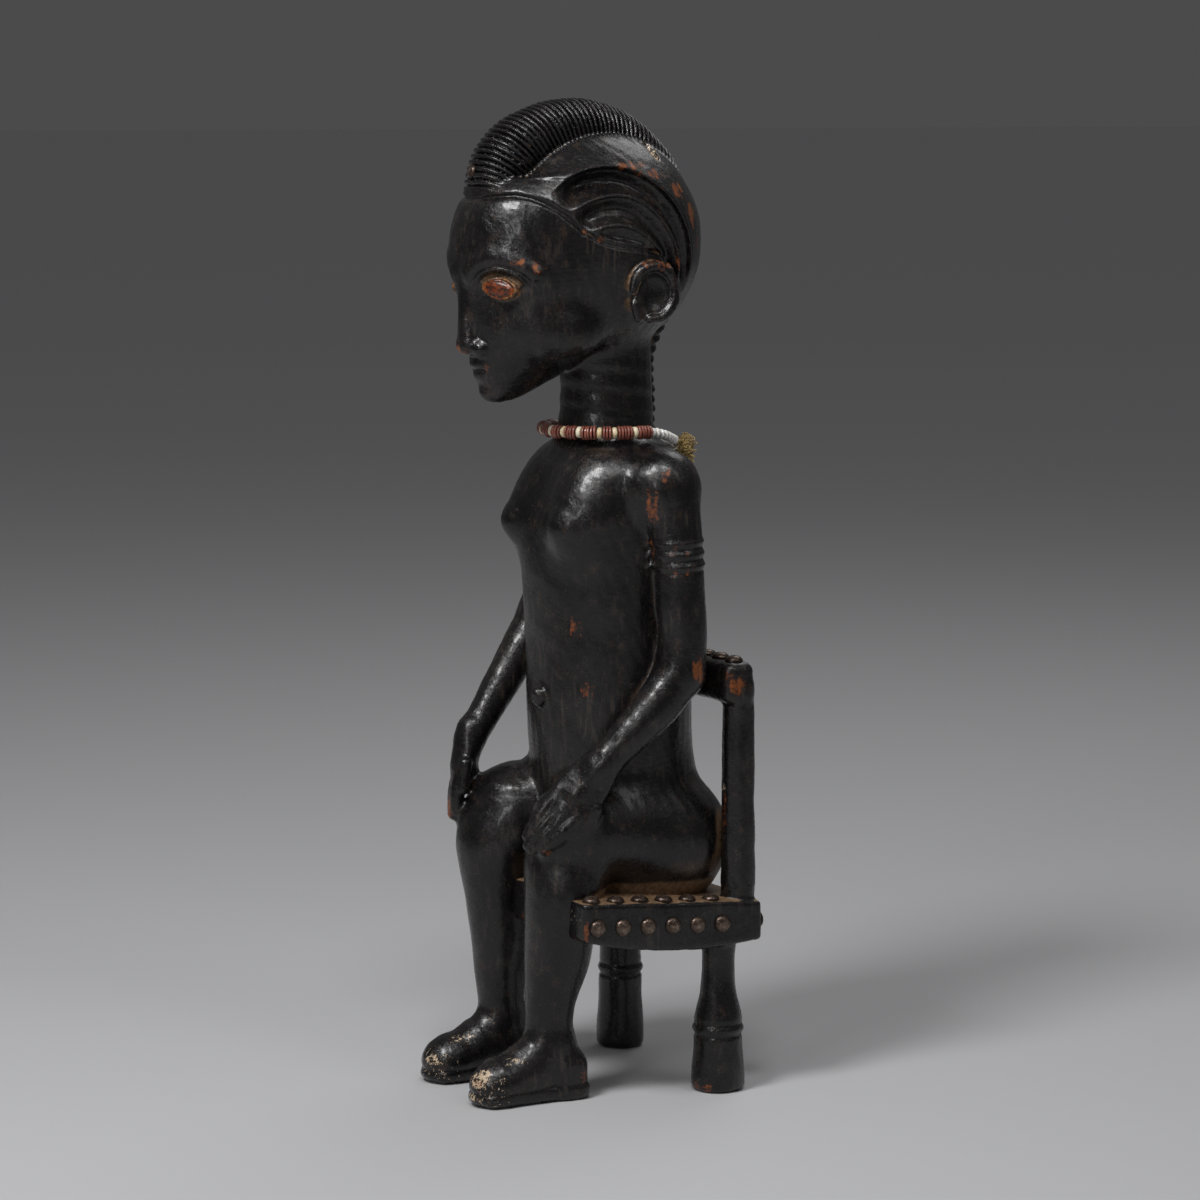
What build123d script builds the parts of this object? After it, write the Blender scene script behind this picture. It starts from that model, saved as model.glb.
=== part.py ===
"""Seated carved wooden figure on a chair, with upholstery tacks and a string of beads.

Millimetres, +Z up.  The figure faces -Y, so its own left side is +X.  The origin is on the
floor under the middle of the overall box.  The wood is one block on the real object; it is
written as two solids, figure and chair, which meet face to face.
"""

import math
import os

from build123d import *

os.makedirs("parts", exist_ok=True)

# ---------------------------------------------------------------- driving dimensions
TOTAL_HEIGHT = 516.0

# chair
SEAT_HALF_WIDTH = 66.0
SEAT_FRONT_Y = -30.5
SEAT_BACK_Y = 74.5
SEAT_TOP_FRONT_Z = 108.5
SEAT_TOP_BACK_Z = 100.5
SEAT_BOTTOM_FRONT_Z = 88.0
SEAT_BOTTOM_MID_Z = 78.5
SEAT_BOTTOM_BACK_Z = 79.5
SEAT_CORNER_RADIUS = 3.5
SEAT_TOP_EDGE_RADIUS = 1.2
POST_X = 55.5
POST_Y = 65.5
POST_RADIUS = 8.8
RAIL_HALF_LENGTH = 64.5
RAIL_Y = 62.5
RAIL_DEPTH = 18.0
RAIL_BOTTOM_Z = 204.0
RAIL_TOP_Z = 226.0
RAIL_LONG_EDGE_RADIUS = 4.0
RAIL_END_EDGE_RADIUS = 3.0
LEG_X = 54.0
LEG_Y = 55.0
LEFT_LEG_RING_Z = 33.0
RIGHT_LEG_RING_Z = 44.0
# how far legs and posts run into the seat and rail that they are one with
WOOD_OVERLAP = 6.0

# tacks
TACK_DIAMETER = 9.4
TACK_DOME_HEIGHT = 2.5
TACK_SHANK_LENGTH = 9.0
TACK_POINT_LENGTH = 1.5
TACK_SHANK_IN_HEAD = 0.5
TACK_POINT_RADIUS = 0.1
TACK_HOLE_DIAMETER = 1.5
TACK_HOLE_END_CLEARANCE = 0.3
HAIR_TACK_SCALE = 0.78
HAIR_TACK_SEAT_CLEARANCE = 0.1
TACK_SHANK_DIAMETER = 1.4
TACKS_PER_SEAT_ROW = 6
TACKS_ON_SEAT_BACK = 7
# rows along the seat, as (y, z) on its sides and y on its top
SIDE_ROW_FIRST = (-22.5, 95.2)
SIDE_ROW_LAST = (50.5, 90.5)
TOP_ROW_FIRST_Y = -23.5
TOP_ROW_LAST_Y = 46.5
TOP_ROW_X = 60.5
BACK_ROW_HALF_LENGTH = 60.0
BACK_ROW_Z = 89.5
# the sitter's back covers the middle of the rail, so its tacks are at the two ends
RAIL_TACK_XS = (28.0, 42.0, 56.0)

# string of beads
RING_CENTRE_Y = 19.5
RING_Z = 344.5
RING_HALF_WIDTH = 33.0
RING_HALF_DEPTH = 35.0
RING_BACK_DROP = 10.0
RING_STEPS = 28
THREAD_END_ANGLE = 3.0
KNOT_ANGLE = 62.0
KNOT_OFFSET = (2.0, 4.5, -2.0)
KNOT_RADII = (5.2, 5.6, 8.4)
FIBRE_END_LEANS = ((0.3, 0.1), (-0.2, 0.25), (0.1, 0.35), (-0.05, 0.0))
FIBRE_END_RADIUS = 0.8
FIBRE_END_LENGTH = 2.0
THREAD_DIAMETER = 1.0
BEAD_HOLE_DIAMETER = 1.6
BEAD_GAP = 0.24
RED_DISC_DIAMETER = 7.0
RED_DISC_LENGTH = 1.25
CREAM_BEAD_DIAMETER = 6.0
CREAM_BEAD_LENGTH = 2.9
WHITE_BEAD_DIAMETER = 5.2
WHITE_BEAD_LENGTH = 2.9
RED_DISC_EDGE_RADIUS = 0.35
ROUND_BEAD_EDGE_RADIUS = 1.2
WHITE_BEADS_EACH_SIDE = 8
RED_GROUP_SIZES = (5, 5, 3, 5, 4, 4, 5, 4, 4, 5, 4, 4, 5, 3, 5, 5)

SIDES = {"left": 1, "right": -1}
BALL_OVERSIZE = 1.03


# ---------------------------------------------------------------- helpers
def ellipsoid(centre, radii):
    """An ellipsoid with its three radii along X, Y and Z."""
    with BuildPart() as form:
        Sphere(1.0)
        scale(by=radii)
    return form.part.moved(Location(centre))


def stacked_ellipses(sections):
    """A loft through level ellipses, each given as (z, middle y, half width x, half depth y)."""
    with BuildPart() as form:
        for z, middle_y, half_x, half_y in sections:
            with BuildSketch(Plane.XY.offset(z)):
                with Locations((0, middle_y)):
                    Ellipse(half_x, half_y)
        loft()
    return form.part


def limb(stations, ball_at_start=True):
    """A round limb: a loft through circles, each given as (centre, radius), with ball ends."""
    centres = [Vector(*centre) for centre, _ in stations]
    with BuildPart() as form:
        for index, (centre, radius) in enumerate(stations):
            before = centres[max(index - 1, 0)]
            after = centres[min(index + 1, len(centres) - 1)]
            with BuildSketch(Plane(origin=centre, z_dir=after - before)):
                Circle(radius)
        loft()
        for centre, radius in stations[:1] * ball_at_start + stations[-1:]:
            with Locations(centre):
                Sphere(radius * BALL_OVERSIZE)
    return form.part


# ---------------------------------------------------------------- chair
def chair_leg_profile(ring_z, top_radius, foot_radius, top_z):
    """Half outline of a carved leg: wide foot, a grooved ring, and a waist under the seat."""
    with BuildLine() as outline:
        Polyline(
            (0, 0),
            (foot_radius - 0.8, 0),
            (foot_radius, 1.2),
            (foot_radius - 1.0, ring_z - 3.5),
            (foot_radius - 2.0, ring_z - 2.6),
            (foot_radius - 2.0, ring_z - 1.4),
            (foot_radius - 0.8, ring_z - 0.6),
            (foot_radius - 1.0, ring_z + 2.6),
        )
        Spline(
            (foot_radius - 1.0, ring_z + 2.6),
            ((foot_radius + top_radius) / 2 - 0.4, ring_z + (top_z - ring_z) * 0.45),
            (top_radius, top_z),
        )
        Polyline((top_radius, top_z), (0, top_z), (0, 0))
    return outline.line


leg_shapes = {}
for side, ring_z, top_radius, foot_radius in (
    ("left", LEFT_LEG_RING_Z, 9.8, 14.0),
    ("right", RIGHT_LEG_RING_Z, 10.4, 13.0),
):
    with BuildPart() as leg:
        with BuildSketch(Plane.XZ):
            add(chair_leg_profile(ring_z, top_radius, foot_radius, SEAT_BOTTOM_MID_Z + WOOD_OVERLAP))
            make_face()
        revolve(axis=Axis.Z)
    leg_shapes[side] = leg.part

with BuildPart() as chair:
    # seat slab: a side outline with a bowed underside, drawn out to the full width
    with BuildSketch(Plane.YZ):
        with BuildLine():
            Polyline(
                (SEAT_BACK_Y, SEAT_BOTTOM_BACK_Z),
                (SEAT_BACK_Y, SEAT_TOP_BACK_Z),
                (SEAT_FRONT_Y, SEAT_TOP_FRONT_Z),
                (SEAT_FRONT_Y, SEAT_BOTTOM_FRONT_Z),
            )
            ThreePointArc(
                (SEAT_FRONT_Y, SEAT_BOTTOM_FRONT_Z),
                ((SEAT_FRONT_Y + SEAT_BACK_Y) / 2, SEAT_BOTTOM_MID_Z),
                (SEAT_BACK_Y, SEAT_BOTTOM_BACK_Z),
            )
        make_face()
    extrude(amount=SEAT_HALF_WIDTH, both=True)
    fillet(chair.edges().filter_by(Axis.Z), radius=SEAT_CORNER_RADIUS)
    fillet(chair.faces().sort_by(Axis.Z)[-1].edges(), radius=SEAT_TOP_EDGE_RADIUS)
    # legs under the back of the seat
    for side, sign in SIDES.items():
        with Locations((sign * LEG_X, LEG_Y, 0)):
            add(leg_shapes[side])
    # back posts
    with Locations(*[(sign * POST_X, POST_Y, SEAT_TOP_BACK_Z - WOOD_OVERLAP) for sign in SIDES.values()]):
        Cylinder(
            POST_RADIUS,
            RAIL_BOTTOM_Z + WOOD_OVERLAP - (SEAT_TOP_BACK_Z - WOOD_OVERLAP),
            align=(Align.CENTER, Align.CENTER, Align.MIN),
        )

with BuildPart() as rail:
    with BuildSketch(Plane.YZ):
        with Locations((RAIL_Y, (RAIL_BOTTOM_Z + RAIL_TOP_Z) / 2)):
            RectangleRounded(RAIL_DEPTH, RAIL_TOP_Z - RAIL_BOTTOM_Z, RAIL_LONG_EDGE_RADIUS)
    extrude(amount=RAIL_HALF_LENGTH, both=True)
    fillet(rail.faces().filter_by(Axis.X).edges(), radius=RAIL_END_EDGE_RADIUS)


# ---------------------------------------------------------------- tacks
with BuildPart() as tack:
    add(ellipsoid((0, 0, 0), (TACK_DIAMETER / 2, TACK_DIAMETER / 2, TACK_DOME_HEIGHT)))
    split(bisect_by=Plane.XY, keep=Keep.TOP)
    with Locations((0, 0, TACK_SHANK_IN_HEAD)):
        Cylinder(
            TACK_SHANK_DIAMETER / 2,
            TACK_SHANK_LENGTH - TACK_POINT_LENGTH,
            align=(Align.CENTER, Align.CENTER, Align.MAX),
        )
    with Locations((0, 0, TACK_SHANK_IN_HEAD + TACK_POINT_LENGTH - TACK_SHANK_LENGTH)):
        Cone(
            TACK_POINT_RADIUS,
            TACK_SHANK_DIAMETER / 2,
            TACK_POINT_LENGTH,
            align=(Align.CENTER, Align.CENTER, Align.MAX),
        )


def tack_group(label, planes):
    """Tacks standing on the given planes, as one node of separate solids."""
    with BuildPart() as group:
        for plane in planes:
            add(tack.part.moved(plane.location))
    group.part.label = label
    return group.part


# the seat top falls towards the back
seat_slope = math.atan2(SEAT_TOP_FRONT_Z - SEAT_TOP_BACK_Z, SEAT_BACK_Y - SEAT_FRONT_Y)
row_steps = [step / (TACKS_PER_SEAT_ROW - 1) for step in range(TACKS_PER_SEAT_ROW)]
back_steps = [2 * step / (TACKS_ON_SEAT_BACK - 1) - 1 for step in range(TACKS_ON_SEAT_BACK)]

tack_planes = {}
for side, sign in SIDES.items():
    tack_planes[f"seat_{side}_side_tacks"] = [
        Plane(
            origin=(
                sign * SEAT_HALF_WIDTH,
                SIDE_ROW_FIRST[0] + step * (SIDE_ROW_LAST[0] - SIDE_ROW_FIRST[0]),
                SIDE_ROW_FIRST[1] + step * (SIDE_ROW_LAST[1] - SIDE_ROW_FIRST[1]),
            ),
            z_dir=(sign, 0, 0),
        )
        for step in row_steps
    ]
    tack_planes[f"seat_{side}_top_tacks"] = [
        Plane(
            origin=(
                sign * TOP_ROW_X,
                row_y,
                SEAT_TOP_FRONT_Z - (row_y - SEAT_FRONT_Y) * math.tan(seat_slope),
            ),
            z_dir=(0, math.sin(seat_slope), math.cos(seat_slope)),
        )
        for row_y in [TOP_ROW_FIRST_Y + step * (TOP_ROW_LAST_Y - TOP_ROW_FIRST_Y) for step in row_steps]
    ]
tack_planes["seat_back_tacks"] = [
    Plane(origin=(step * BACK_ROW_HALF_LENGTH, SEAT_BACK_Y, BACK_ROW_Z), z_dir=(0, 1, 0))
    for step in back_steps
]
tack_planes["rail_tacks"] = [
    Plane(origin=(sign * tack_x, RAIL_Y, RAIL_TOP_Z), z_dir=(0, 0, 1))
    for sign in SIDES.values()
    for tack_x in RAIL_TACK_XS
]
tack_parts = {name: tack_group(name, planes) for name, planes in tack_planes.items()}

with BuildPart() as chair_whole:
    add(chair.part)
    add(rail.part)
    # a hole for every shank
    for planes in tack_planes.values():
        with Locations(*[plane.location for plane in planes]):
            Cylinder(
                TACK_HOLE_DIAMETER / 2,
                2 * (TACK_SHANK_LENGTH + TACK_HOLE_END_CLEARANCE),
                mode=Mode.SUBTRACT,
            )
chair_whole.part.label = "chair"

# ---------------------------------------------------------------- figure: trunk, neck and head
trunk_form = stacked_ellipses(
    [
        # z, middle y, half width, half depth
        (96.0, 26.0, 42.0, 38.0),
        (125.0, 26.0, 48.0, 41.0),
        (165.0, 24.0, 47.0, 40.0),
        (215.0, 21.0, 47.0, 40.0),
        (265.0, 20.0, 46.0, 40.0),
        (300.0, 20.5, 47.0, 41.0),
        (317.0, 19.5, 50.0, 38.0),
        (328.0, 17.5, 46.0, 33.0),
        (336.0, 17.0, 36.0, 28.0),
    ]
)
neck_form = stacked_ellipses(
    [
        (330.0, 18.0, 26.5, 26.5),
        (345.0, 17.5, 25.0, 25.0),
        (375.0, 17.0, 24.0, 24.0),
        (410.0, 15.0, 28.0, 28.0),
    ]
)
face_form = stacked_ellipses(
    [
        # the chin, then the long jaw, the cheeks and the forehead
        (360.5, -43.0, 5.0, 7.5),
        (366.0, -39.5, 11.5, 15.5),
        (376.0, -32.5, 20.5, 26.0),
        (392.0, -25.0, 30.5, 35.5),
        (415.0, -19.5, 40.0, 47.0),
        (440.0, -11.0, 45.0, 57.0),
        (462.0, -6.0, 43.0, 56.0),
    ]
)
cranium_form = ellipsoid((0, 5, 438), (47.0, 57.0, 57.0))
hair_form = ellipsoid((0, 9, 443), (49.0, 57.0, 57.5))

# hair comb: a ribbed crest over the crown, outlined in side view
with BuildPart() as comb:
    with BuildSketch(Plane.YZ):
        with BuildLine():
            Spline(
                (-48, 462),
                (-61, 468),
                (-58, 484),
                (-42, 502.5),
                (-22, 512.5),
                (0, TOTAL_HEIGHT),
                (20, 511.5),
                (38, 501.5),
                (53, 486),
                (62.5, 465),
                (66.5, 440),
                (61, 414),
                (51, 398),
                (42, 392),
            )
            Polyline((42, 392), (20, 430), (-48, 462))
        make_face()
    extrude(amount=15, both=True)
    fillet(comb.edges().filter_by(Axis.X, reverse=True), radius=5.0)

with BuildPart() as braid:
    with BuildSketch(Plane.XY.offset(334)):
        with Locations((0, 40.5)):
            Circle(4.6)
    extrude(amount=62)

with BuildPart() as nose:
    with BuildSketch(Plane.XY.offset(384.5)):
        with Locations((0, -55.5)):
            Ellipse(7.5, 9.0)
    with BuildSketch(Plane.XY.offset(392)):
        with Locations((0, -56.0)):
            Ellipse(5.5, 7.5)
    with BuildSketch(Plane.XY.offset(420)):
        with Locations((0, -54.0)):
            Ellipse(3.0, 6.5)
    loft()

ear_forms = []
for sign in SIDES.values():
    with BuildPart() as ear:
        with BuildSketch(Plane.YZ.offset(sign * 43.0)):
            with Locations((25.5, 423)):
                Ellipse(10.5, 15.5, rotation=-8)
        extrude(amount=sign * 9.5)
        outer_rim = ear.faces().filter_by(Axis.X).sort_by(Axis.X)[-1 if sign > 0 else 0]
        fillet(outer_rim.edges(), radius=2.0)
        with BuildSketch(Plane.YZ.offset(sign * 53.0)):
            with Locations((25.0, 423.5)):
                Ellipse(6.8, 11.0, rotation=-8)
        extrude(amount=-sign * 4.5, mode=Mode.SUBTRACT)
    ear_forms.append(ear.part)

# ---------------------------------------------------------------- figure: arms and legs
arm_forms = [
    # left arm: shoulder, upper arm, elbow, forearm, wrist
    limb([((48, 26, 317), 17.0), ((56, 29, 290), 12.8), ((58, 31, 240), 12.6), ((57, 32, 224), 13.0)]),
    limb([((57, 32, 224), 13.0), ((55, 10, 196), 11.2), ((49, -14, 174), 8.6)], False),
    limb([((49, -14, 174), 8.6), ((45, -27, 160), 9.5), ((43, -39, 146), 7.0)], False),
    # right arm, which the carver set further forward
    limb([((-48, 26, 317), 17.0), ((-56, 24, 290), 12.8), ((-58, 14, 248), 12.6), ((-57, 9, 238), 13.0)]),
    limb([((-57, 9, 238), 13.0), ((-53, -16, 204), 10.8), ((-48, -34, 178), 8.6)], False),
    limb([((-48, -34, 178), 8.6), ((-47, -40, 162), 9.5), ((-46, -42, 145), 7.0)], False),
]
leg_forms = [
    # left: thigh along the seat, knee, shin
    limb([((25, 45, 133), 28.0), ((27, 10, 136), 28.0), ((28, -14, 138), 26.0)]),
    limb([((28, -17, 134), 25.5), ((29, -25, 104), 18.0), ((29, -28, 60), 13.6), ((29, -31, 26), 12.2)]),
    # right
    limb([((-25, 45, 133), 28.0), ((-28, 8, 137), 28.0), ((-30, -21, 140), 26.5)]),
    limb([((-30, -24, 136), 26.0), ((-30, -31, 100), 17.0), ((-30, -31, 62), 13.4), ((-29, -29, 26), 12.0)]),
]
for sign in SIDES.values():
    leg_forms.append(ellipsoid((sign * 26, 42, 128), (28.0, 30.0, 32.0)))


def shoe(middle_x):
    """A plain closed shoe with a flat sole, a rounded toe and a squared heel."""
    with BuildPart() as form:
        with BuildSketch():
            with BuildLine():
                left_edge = Line((middle_x - 13.5, -13), (middle_x - 13.5, -63))
                right_edge = Line((middle_x + 13.5, -63), (middle_x + 13.5, -13))
                ThreePointArc(left_edge @ 1, (middle_x, -77), right_edge @ 0)
                Line(right_edge @ 1, left_edge @ 0)
            make_face()
        extrude(amount=19)
        fillet(form.faces().sort_by(Axis.Z)[-1].edges(), radius=7.5)
    return form.part


shoe_forms = [shoe(sign * 29.0) for sign in SIDES.values()]
instep_forms = [
    limb([((sign * 29, -62, 11), 9.5), ((sign * 29, -47, 17), 12.5), ((sign * 29, -32, 24), 13.2)])
    for sign in SIDES.values()
]
chest_forms = [ellipsoid((sign * 21, -13, 300), (15.5, 17.0, 15.0)) for sign in SIDES.values()]
navel_form = ellipsoid((0, -18.0, 205), (5.0, 6.0, 5.0))

# the one tack in the front of the hair comb, let into a shallow seat
HAIR_TACK_PLANE = Plane(origin=(0, -59.6, 478.0), z_dir=(0, -0.97, 0.24))
hair_tack_shape = tack.part.scale(HAIR_TACK_SCALE).moved(HAIR_TACK_PLANE.location)
hair_tack_shape.label = "hair_tack"

with BuildPart() as hair_tack_seat:
    with Locations(HAIR_TACK_PLANE.location):
        Cylinder(
            TACK_DIAMETER * HAIR_TACK_SCALE / 2 + HAIR_TACK_SEAT_CLEARANCE,
            8.0,
            align=(Align.CENTER, Align.CENTER, Align.MIN),
        )
        Cylinder(TACK_HOLE_DIAMETER / 2 * HAIR_TACK_SCALE, 2 * TACK_SHANK_LENGTH)

with BuildPart() as figure:
    for form in (trunk_form, neck_form, face_form, cranium_form, hair_form, comb.part):
        add(form)
    for form in (braid.part, nose.part, *ear_forms, *arm_forms, *leg_forms):
        add(form)
    for form in (*shoe_forms, *instep_forms, *chest_forms, navel_form):
        add(form)
    add(hair_tack_seat.part, mode=Mode.SUBTRACT)
    # the sitter and the seat meet face to face
    add(chair.part, mode=Mode.SUBTRACT)
    add(rail.part, mode=Mode.SUBTRACT)
    # nothing of the figure reaches under the floor
    with Locations((0, 0, -20)):
        Box(400, 400, 40, mode=Mode.SUBTRACT)
figure.part.label = "figure"

# ---------------------------------------------------------------- string of beads
# level round the front and sides of the neck, and lower behind it; both ends are in the knot
ring_angles = [
    math.radians(KNOT_ANGLE + THREAD_END_ANGLE + (360 - 2 * THREAD_END_ANGLE) * step / RING_STEPS)
    for step in range(RING_STEPS + 1)
]
with BuildLine() as ring:
    Spline(
        *[
            (
                RING_HALF_WIDTH * math.cos(angle),
                RING_CENTRE_Y + RING_HALF_DEPTH * math.sin(angle),
                RING_Z - RING_BACK_DROP * max(math.sin(angle), 0) ** 2,
            )
            for angle in ring_angles
        ]
    )
ring_path = ring.edge()
ring_length = ring_path.length

with BuildPart() as thread:
    with BuildSketch(Plane(origin=ring_path @ 0, z_dir=ring_path % 0)):
        Circle(THREAD_DIAMETER / 2)
    sweep(path=ring_path)
thread.part.label = "thread"


def bead(diameter, length, edge_radius):
    """A round bead bored along Z, with rounded shoulders."""
    with BuildPart() as form:
        Cylinder(diameter / 2, length)
        fillet(form.edges(), radius=edge_radius)
        Cylinder(BEAD_HOLE_DIAMETER / 2, length, mode=Mode.SUBTRACT)
    return form.part


bead_shapes = {
    "red_discs": bead(RED_DISC_DIAMETER, RED_DISC_LENGTH, RED_DISC_EDGE_RADIUS),
    "cream_beads": bead(CREAM_BEAD_DIAMETER, CREAM_BEAD_LENGTH, ROUND_BEAD_EDGE_RADIUS),
    "white_beads": bead(WHITE_BEAD_DIAMETER, WHITE_BEAD_LENGTH, ROUND_BEAD_EDGE_RADIUS),
}
bead_lengths = {
    "red_discs": RED_DISC_LENGTH,
    "cream_beads": CREAM_BEAD_LENGTH,
    "white_beads": WHITE_BEAD_LENGTH,
}
strung = ["white_beads"] * WHITE_BEADS_EACH_SIDE
for group_size in RED_GROUP_SIZES:
    strung += ["red_discs"] * group_size + ["cream_beads"]
strung = strung[:-1] + ["white_beads"] * WHITE_BEADS_EACH_SIDE
strung_length = sum(bead_lengths[kind] + BEAD_GAP for kind in strung)

bead_groups = {kind: [] for kind in bead_shapes}
along = (ring_length - strung_length) / 2
for kind in strung:
    along += bead_lengths[kind] / 2
    where = Plane(
        origin=ring_path.position_at(along, PositionMode.LENGTH),
        z_dir=ring_path.tangent_at(along, PositionMode.LENGTH),
    )
    bead_groups[kind].append(bead_shapes[kind].moved(where.location))
    along += bead_lengths[kind] / 2 + BEAD_GAP

bead_parts = {}
for kind, shapes in bead_groups.items():
    with BuildPart() as group:
        for shape in shapes:
            add(shape)
    group.part.label = kind
    bead_parts[kind] = group.part

# the tied-off bundle of fibre that closes the string
knot_centre = ring_path @ 0 + Vector(*KNOT_OFFSET)
with BuildPart() as knot:
    add(ellipsoid(tuple(knot_centre), KNOT_RADII))
    for lean_x, lean_y in FIBRE_END_LEANS:
        with Locations(Plane(origin=knot_centre, z_dir=(lean_x, lean_y, -1)).location):
            Cylinder(
                FIBRE_END_RADIUS,
                KNOT_RADII[2] + FIBRE_END_LENGTH,
                align=(Align.CENTER, Align.CENTER, Align.MIN),
            )
    with BuildSketch(Plane(origin=ring_path @ 0, z_dir=ring_path % 0)):
        Circle(BEAD_HOLE_DIAMETER / 2)
    sweep(path=ring_path, mode=Mode.SUBTRACT)
knot.part.label = "knot"

# ---------------------------------------------------------------- files
pieces = [figure.part, chair_whole.part, hair_tack_shape, thread.part, knot.part]
pieces += list(tack_parts.values()) + list(bead_parts.values())
for piece in pieces:
    export_step(piece, f"parts/{piece.label}.step")
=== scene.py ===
"""Seated carved figure on a chair: the visual model, sculpted as a distance field and meshed.

Everything is worked out in millimetres, in the frame of the CAD model, and written to the
scene in metres.  Random numbers are seeded, so each run makes the same object.
"""
import math

import bpy
import numpy as np
from mathutils import Matrix, Vector


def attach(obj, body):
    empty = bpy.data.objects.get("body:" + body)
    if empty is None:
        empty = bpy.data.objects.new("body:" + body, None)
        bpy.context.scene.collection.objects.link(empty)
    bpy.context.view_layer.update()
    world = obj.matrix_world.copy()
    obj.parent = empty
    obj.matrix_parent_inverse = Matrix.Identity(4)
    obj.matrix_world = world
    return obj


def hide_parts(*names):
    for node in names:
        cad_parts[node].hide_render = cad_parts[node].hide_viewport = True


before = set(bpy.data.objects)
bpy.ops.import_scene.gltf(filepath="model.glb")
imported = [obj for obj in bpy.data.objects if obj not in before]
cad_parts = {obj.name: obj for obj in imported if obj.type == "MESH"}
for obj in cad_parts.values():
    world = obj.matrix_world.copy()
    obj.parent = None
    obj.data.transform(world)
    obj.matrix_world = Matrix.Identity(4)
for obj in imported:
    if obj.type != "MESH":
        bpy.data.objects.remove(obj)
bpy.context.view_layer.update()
COARSE = 1.0  # lattice spacing, times the finest
MM = 0.001
F = np.float32
rng = np.random.default_rng(7)


# ------------------------------------------------------------------ field helpers
def vec(v):
    return np.array(v, F)


def norms(q):
    return np.sqrt((q * q).sum(1))


def smin(a, b, k):
    """The smaller of two distances, blended over a width k."""
    h = np.maximum(k - np.abs(a - b), 0) / k
    return np.minimum(a, b) - h * h * k * 0.25


def smax(a, b, k):
    return -smin(-a, -b, k)


def step(a, b, x):
    """0 at a, 1 at b, smooth between; a may be above b."""
    t = np.clip((x - a) / (b - a), 0, 1)
    return t * t * (3 - 2 * t)


def ridge(x, width):
    """1 at x = 0, dying away on both sides."""
    return np.exp(-(x / width) ** 2)


def axes_from(d, n):
    """Rows: along d, across, and out along n as far as it is square to d."""
    d = np.array(d, float) / np.linalg.norm(d)
    n = np.array(n, float) - np.dot(n, d) * d
    n = n / np.linalg.norm(n)
    return np.array([d, np.cross(n, d), n], F)


def ell(c, r, axes=None):
    """An ellipsoid, upright or along the given axes."""
    c, r = vec(c), vec(r)

    def f(p):
        q = p - c
        if axes is not None:
            q = q @ axes.T
        q = q / r
        k0 = norms(q) + 1e-6
        k1 = norms(q / r) + 1e-6
        return k0 * (k0 - 1) / k1

    reach = float(r.max())
    return f, c - reach, c + reach


def cone(a, b, ra, rb):
    """A round-ended limb from a to b."""
    a, b = vec(a), vec(b)
    ab = b - a
    length2 = float(ab @ ab)

    def f(p):
        h = np.clip(((p - a) @ ab) / length2, 0, 1)
        return norms((p - a) - h[:, None] * ab) - (ra + (rb - ra) * h)

    r = max(ra, rb)
    return f, np.minimum(a, b) - r, np.maximum(a, b) + r


def flowing(rows, n):
    """n + 1 rows on a smooth line through the given rows."""
    rows = np.array(rows, float)
    if len(rows) < 3:
        return rows
    t = np.concatenate([[0], np.cumsum(np.sqrt((np.diff(rows[:, :3], axis=0) ** 2).sum(1)))])
    at = np.linspace(0, t[-1], n + 1)
    cols = [np.interp(at, *smooth_table(t, rows[:, i])) for i in range(rows.shape[1])]
    return np.stack(cols, 1)


def chain(stations, pieces=22):
    """A limb swept smoothly through stations (x, y, z, radius)."""
    rows = flowing(stations, pieces)
    parts = [cone(s[:3], t[:3], s[3], t[3]) for s, t in zip(rows, rows[1:])]

    def f(p):
        d = parts[0][0](p)
        for q in parts[1:]:
            d = np.minimum(d, q[0](p))
        return d

    return f, np.min([q[1] for q in parts], 0), np.max([q[2] for q in parts], 0)


def smooth_table(xs, ys, n=400):
    """Natural cubic through the points, as a fine table for interp."""
    xs, ys = np.array(xs, float), np.array(ys, float)
    m = len(xs)
    h = np.diff(xs)
    a = np.zeros((m, m))
    b = np.zeros(m)
    a[0, 0] = a[-1, -1] = 1
    for i in range(1, m - 1):
        a[i, i - 1], a[i, i], a[i, i + 1] = h[i - 1], 2 * (h[i - 1] + h[i]), h[i]
        b[i] = 6 * ((ys[i + 1] - ys[i]) / h[i] - (ys[i] - ys[i - 1]) / h[i - 1])
    s = np.linalg.solve(a, b)
    x = np.linspace(xs[0], xs[-1], n)
    i = np.clip(np.searchsorted(xs, x) - 1, 0, m - 2)
    t, hh = x - xs[i], h[i]
    y = ys[i] + t * ((ys[i + 1] - ys[i]) / hh - hh * (2 * s[i] + s[i + 1]) / 6)
    y = y + t * t * s[i] / 2 + t ** 3 * (s[i + 1] - s[i]) / (6 * hh)
    return x.astype(F), y.astype(F)


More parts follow.
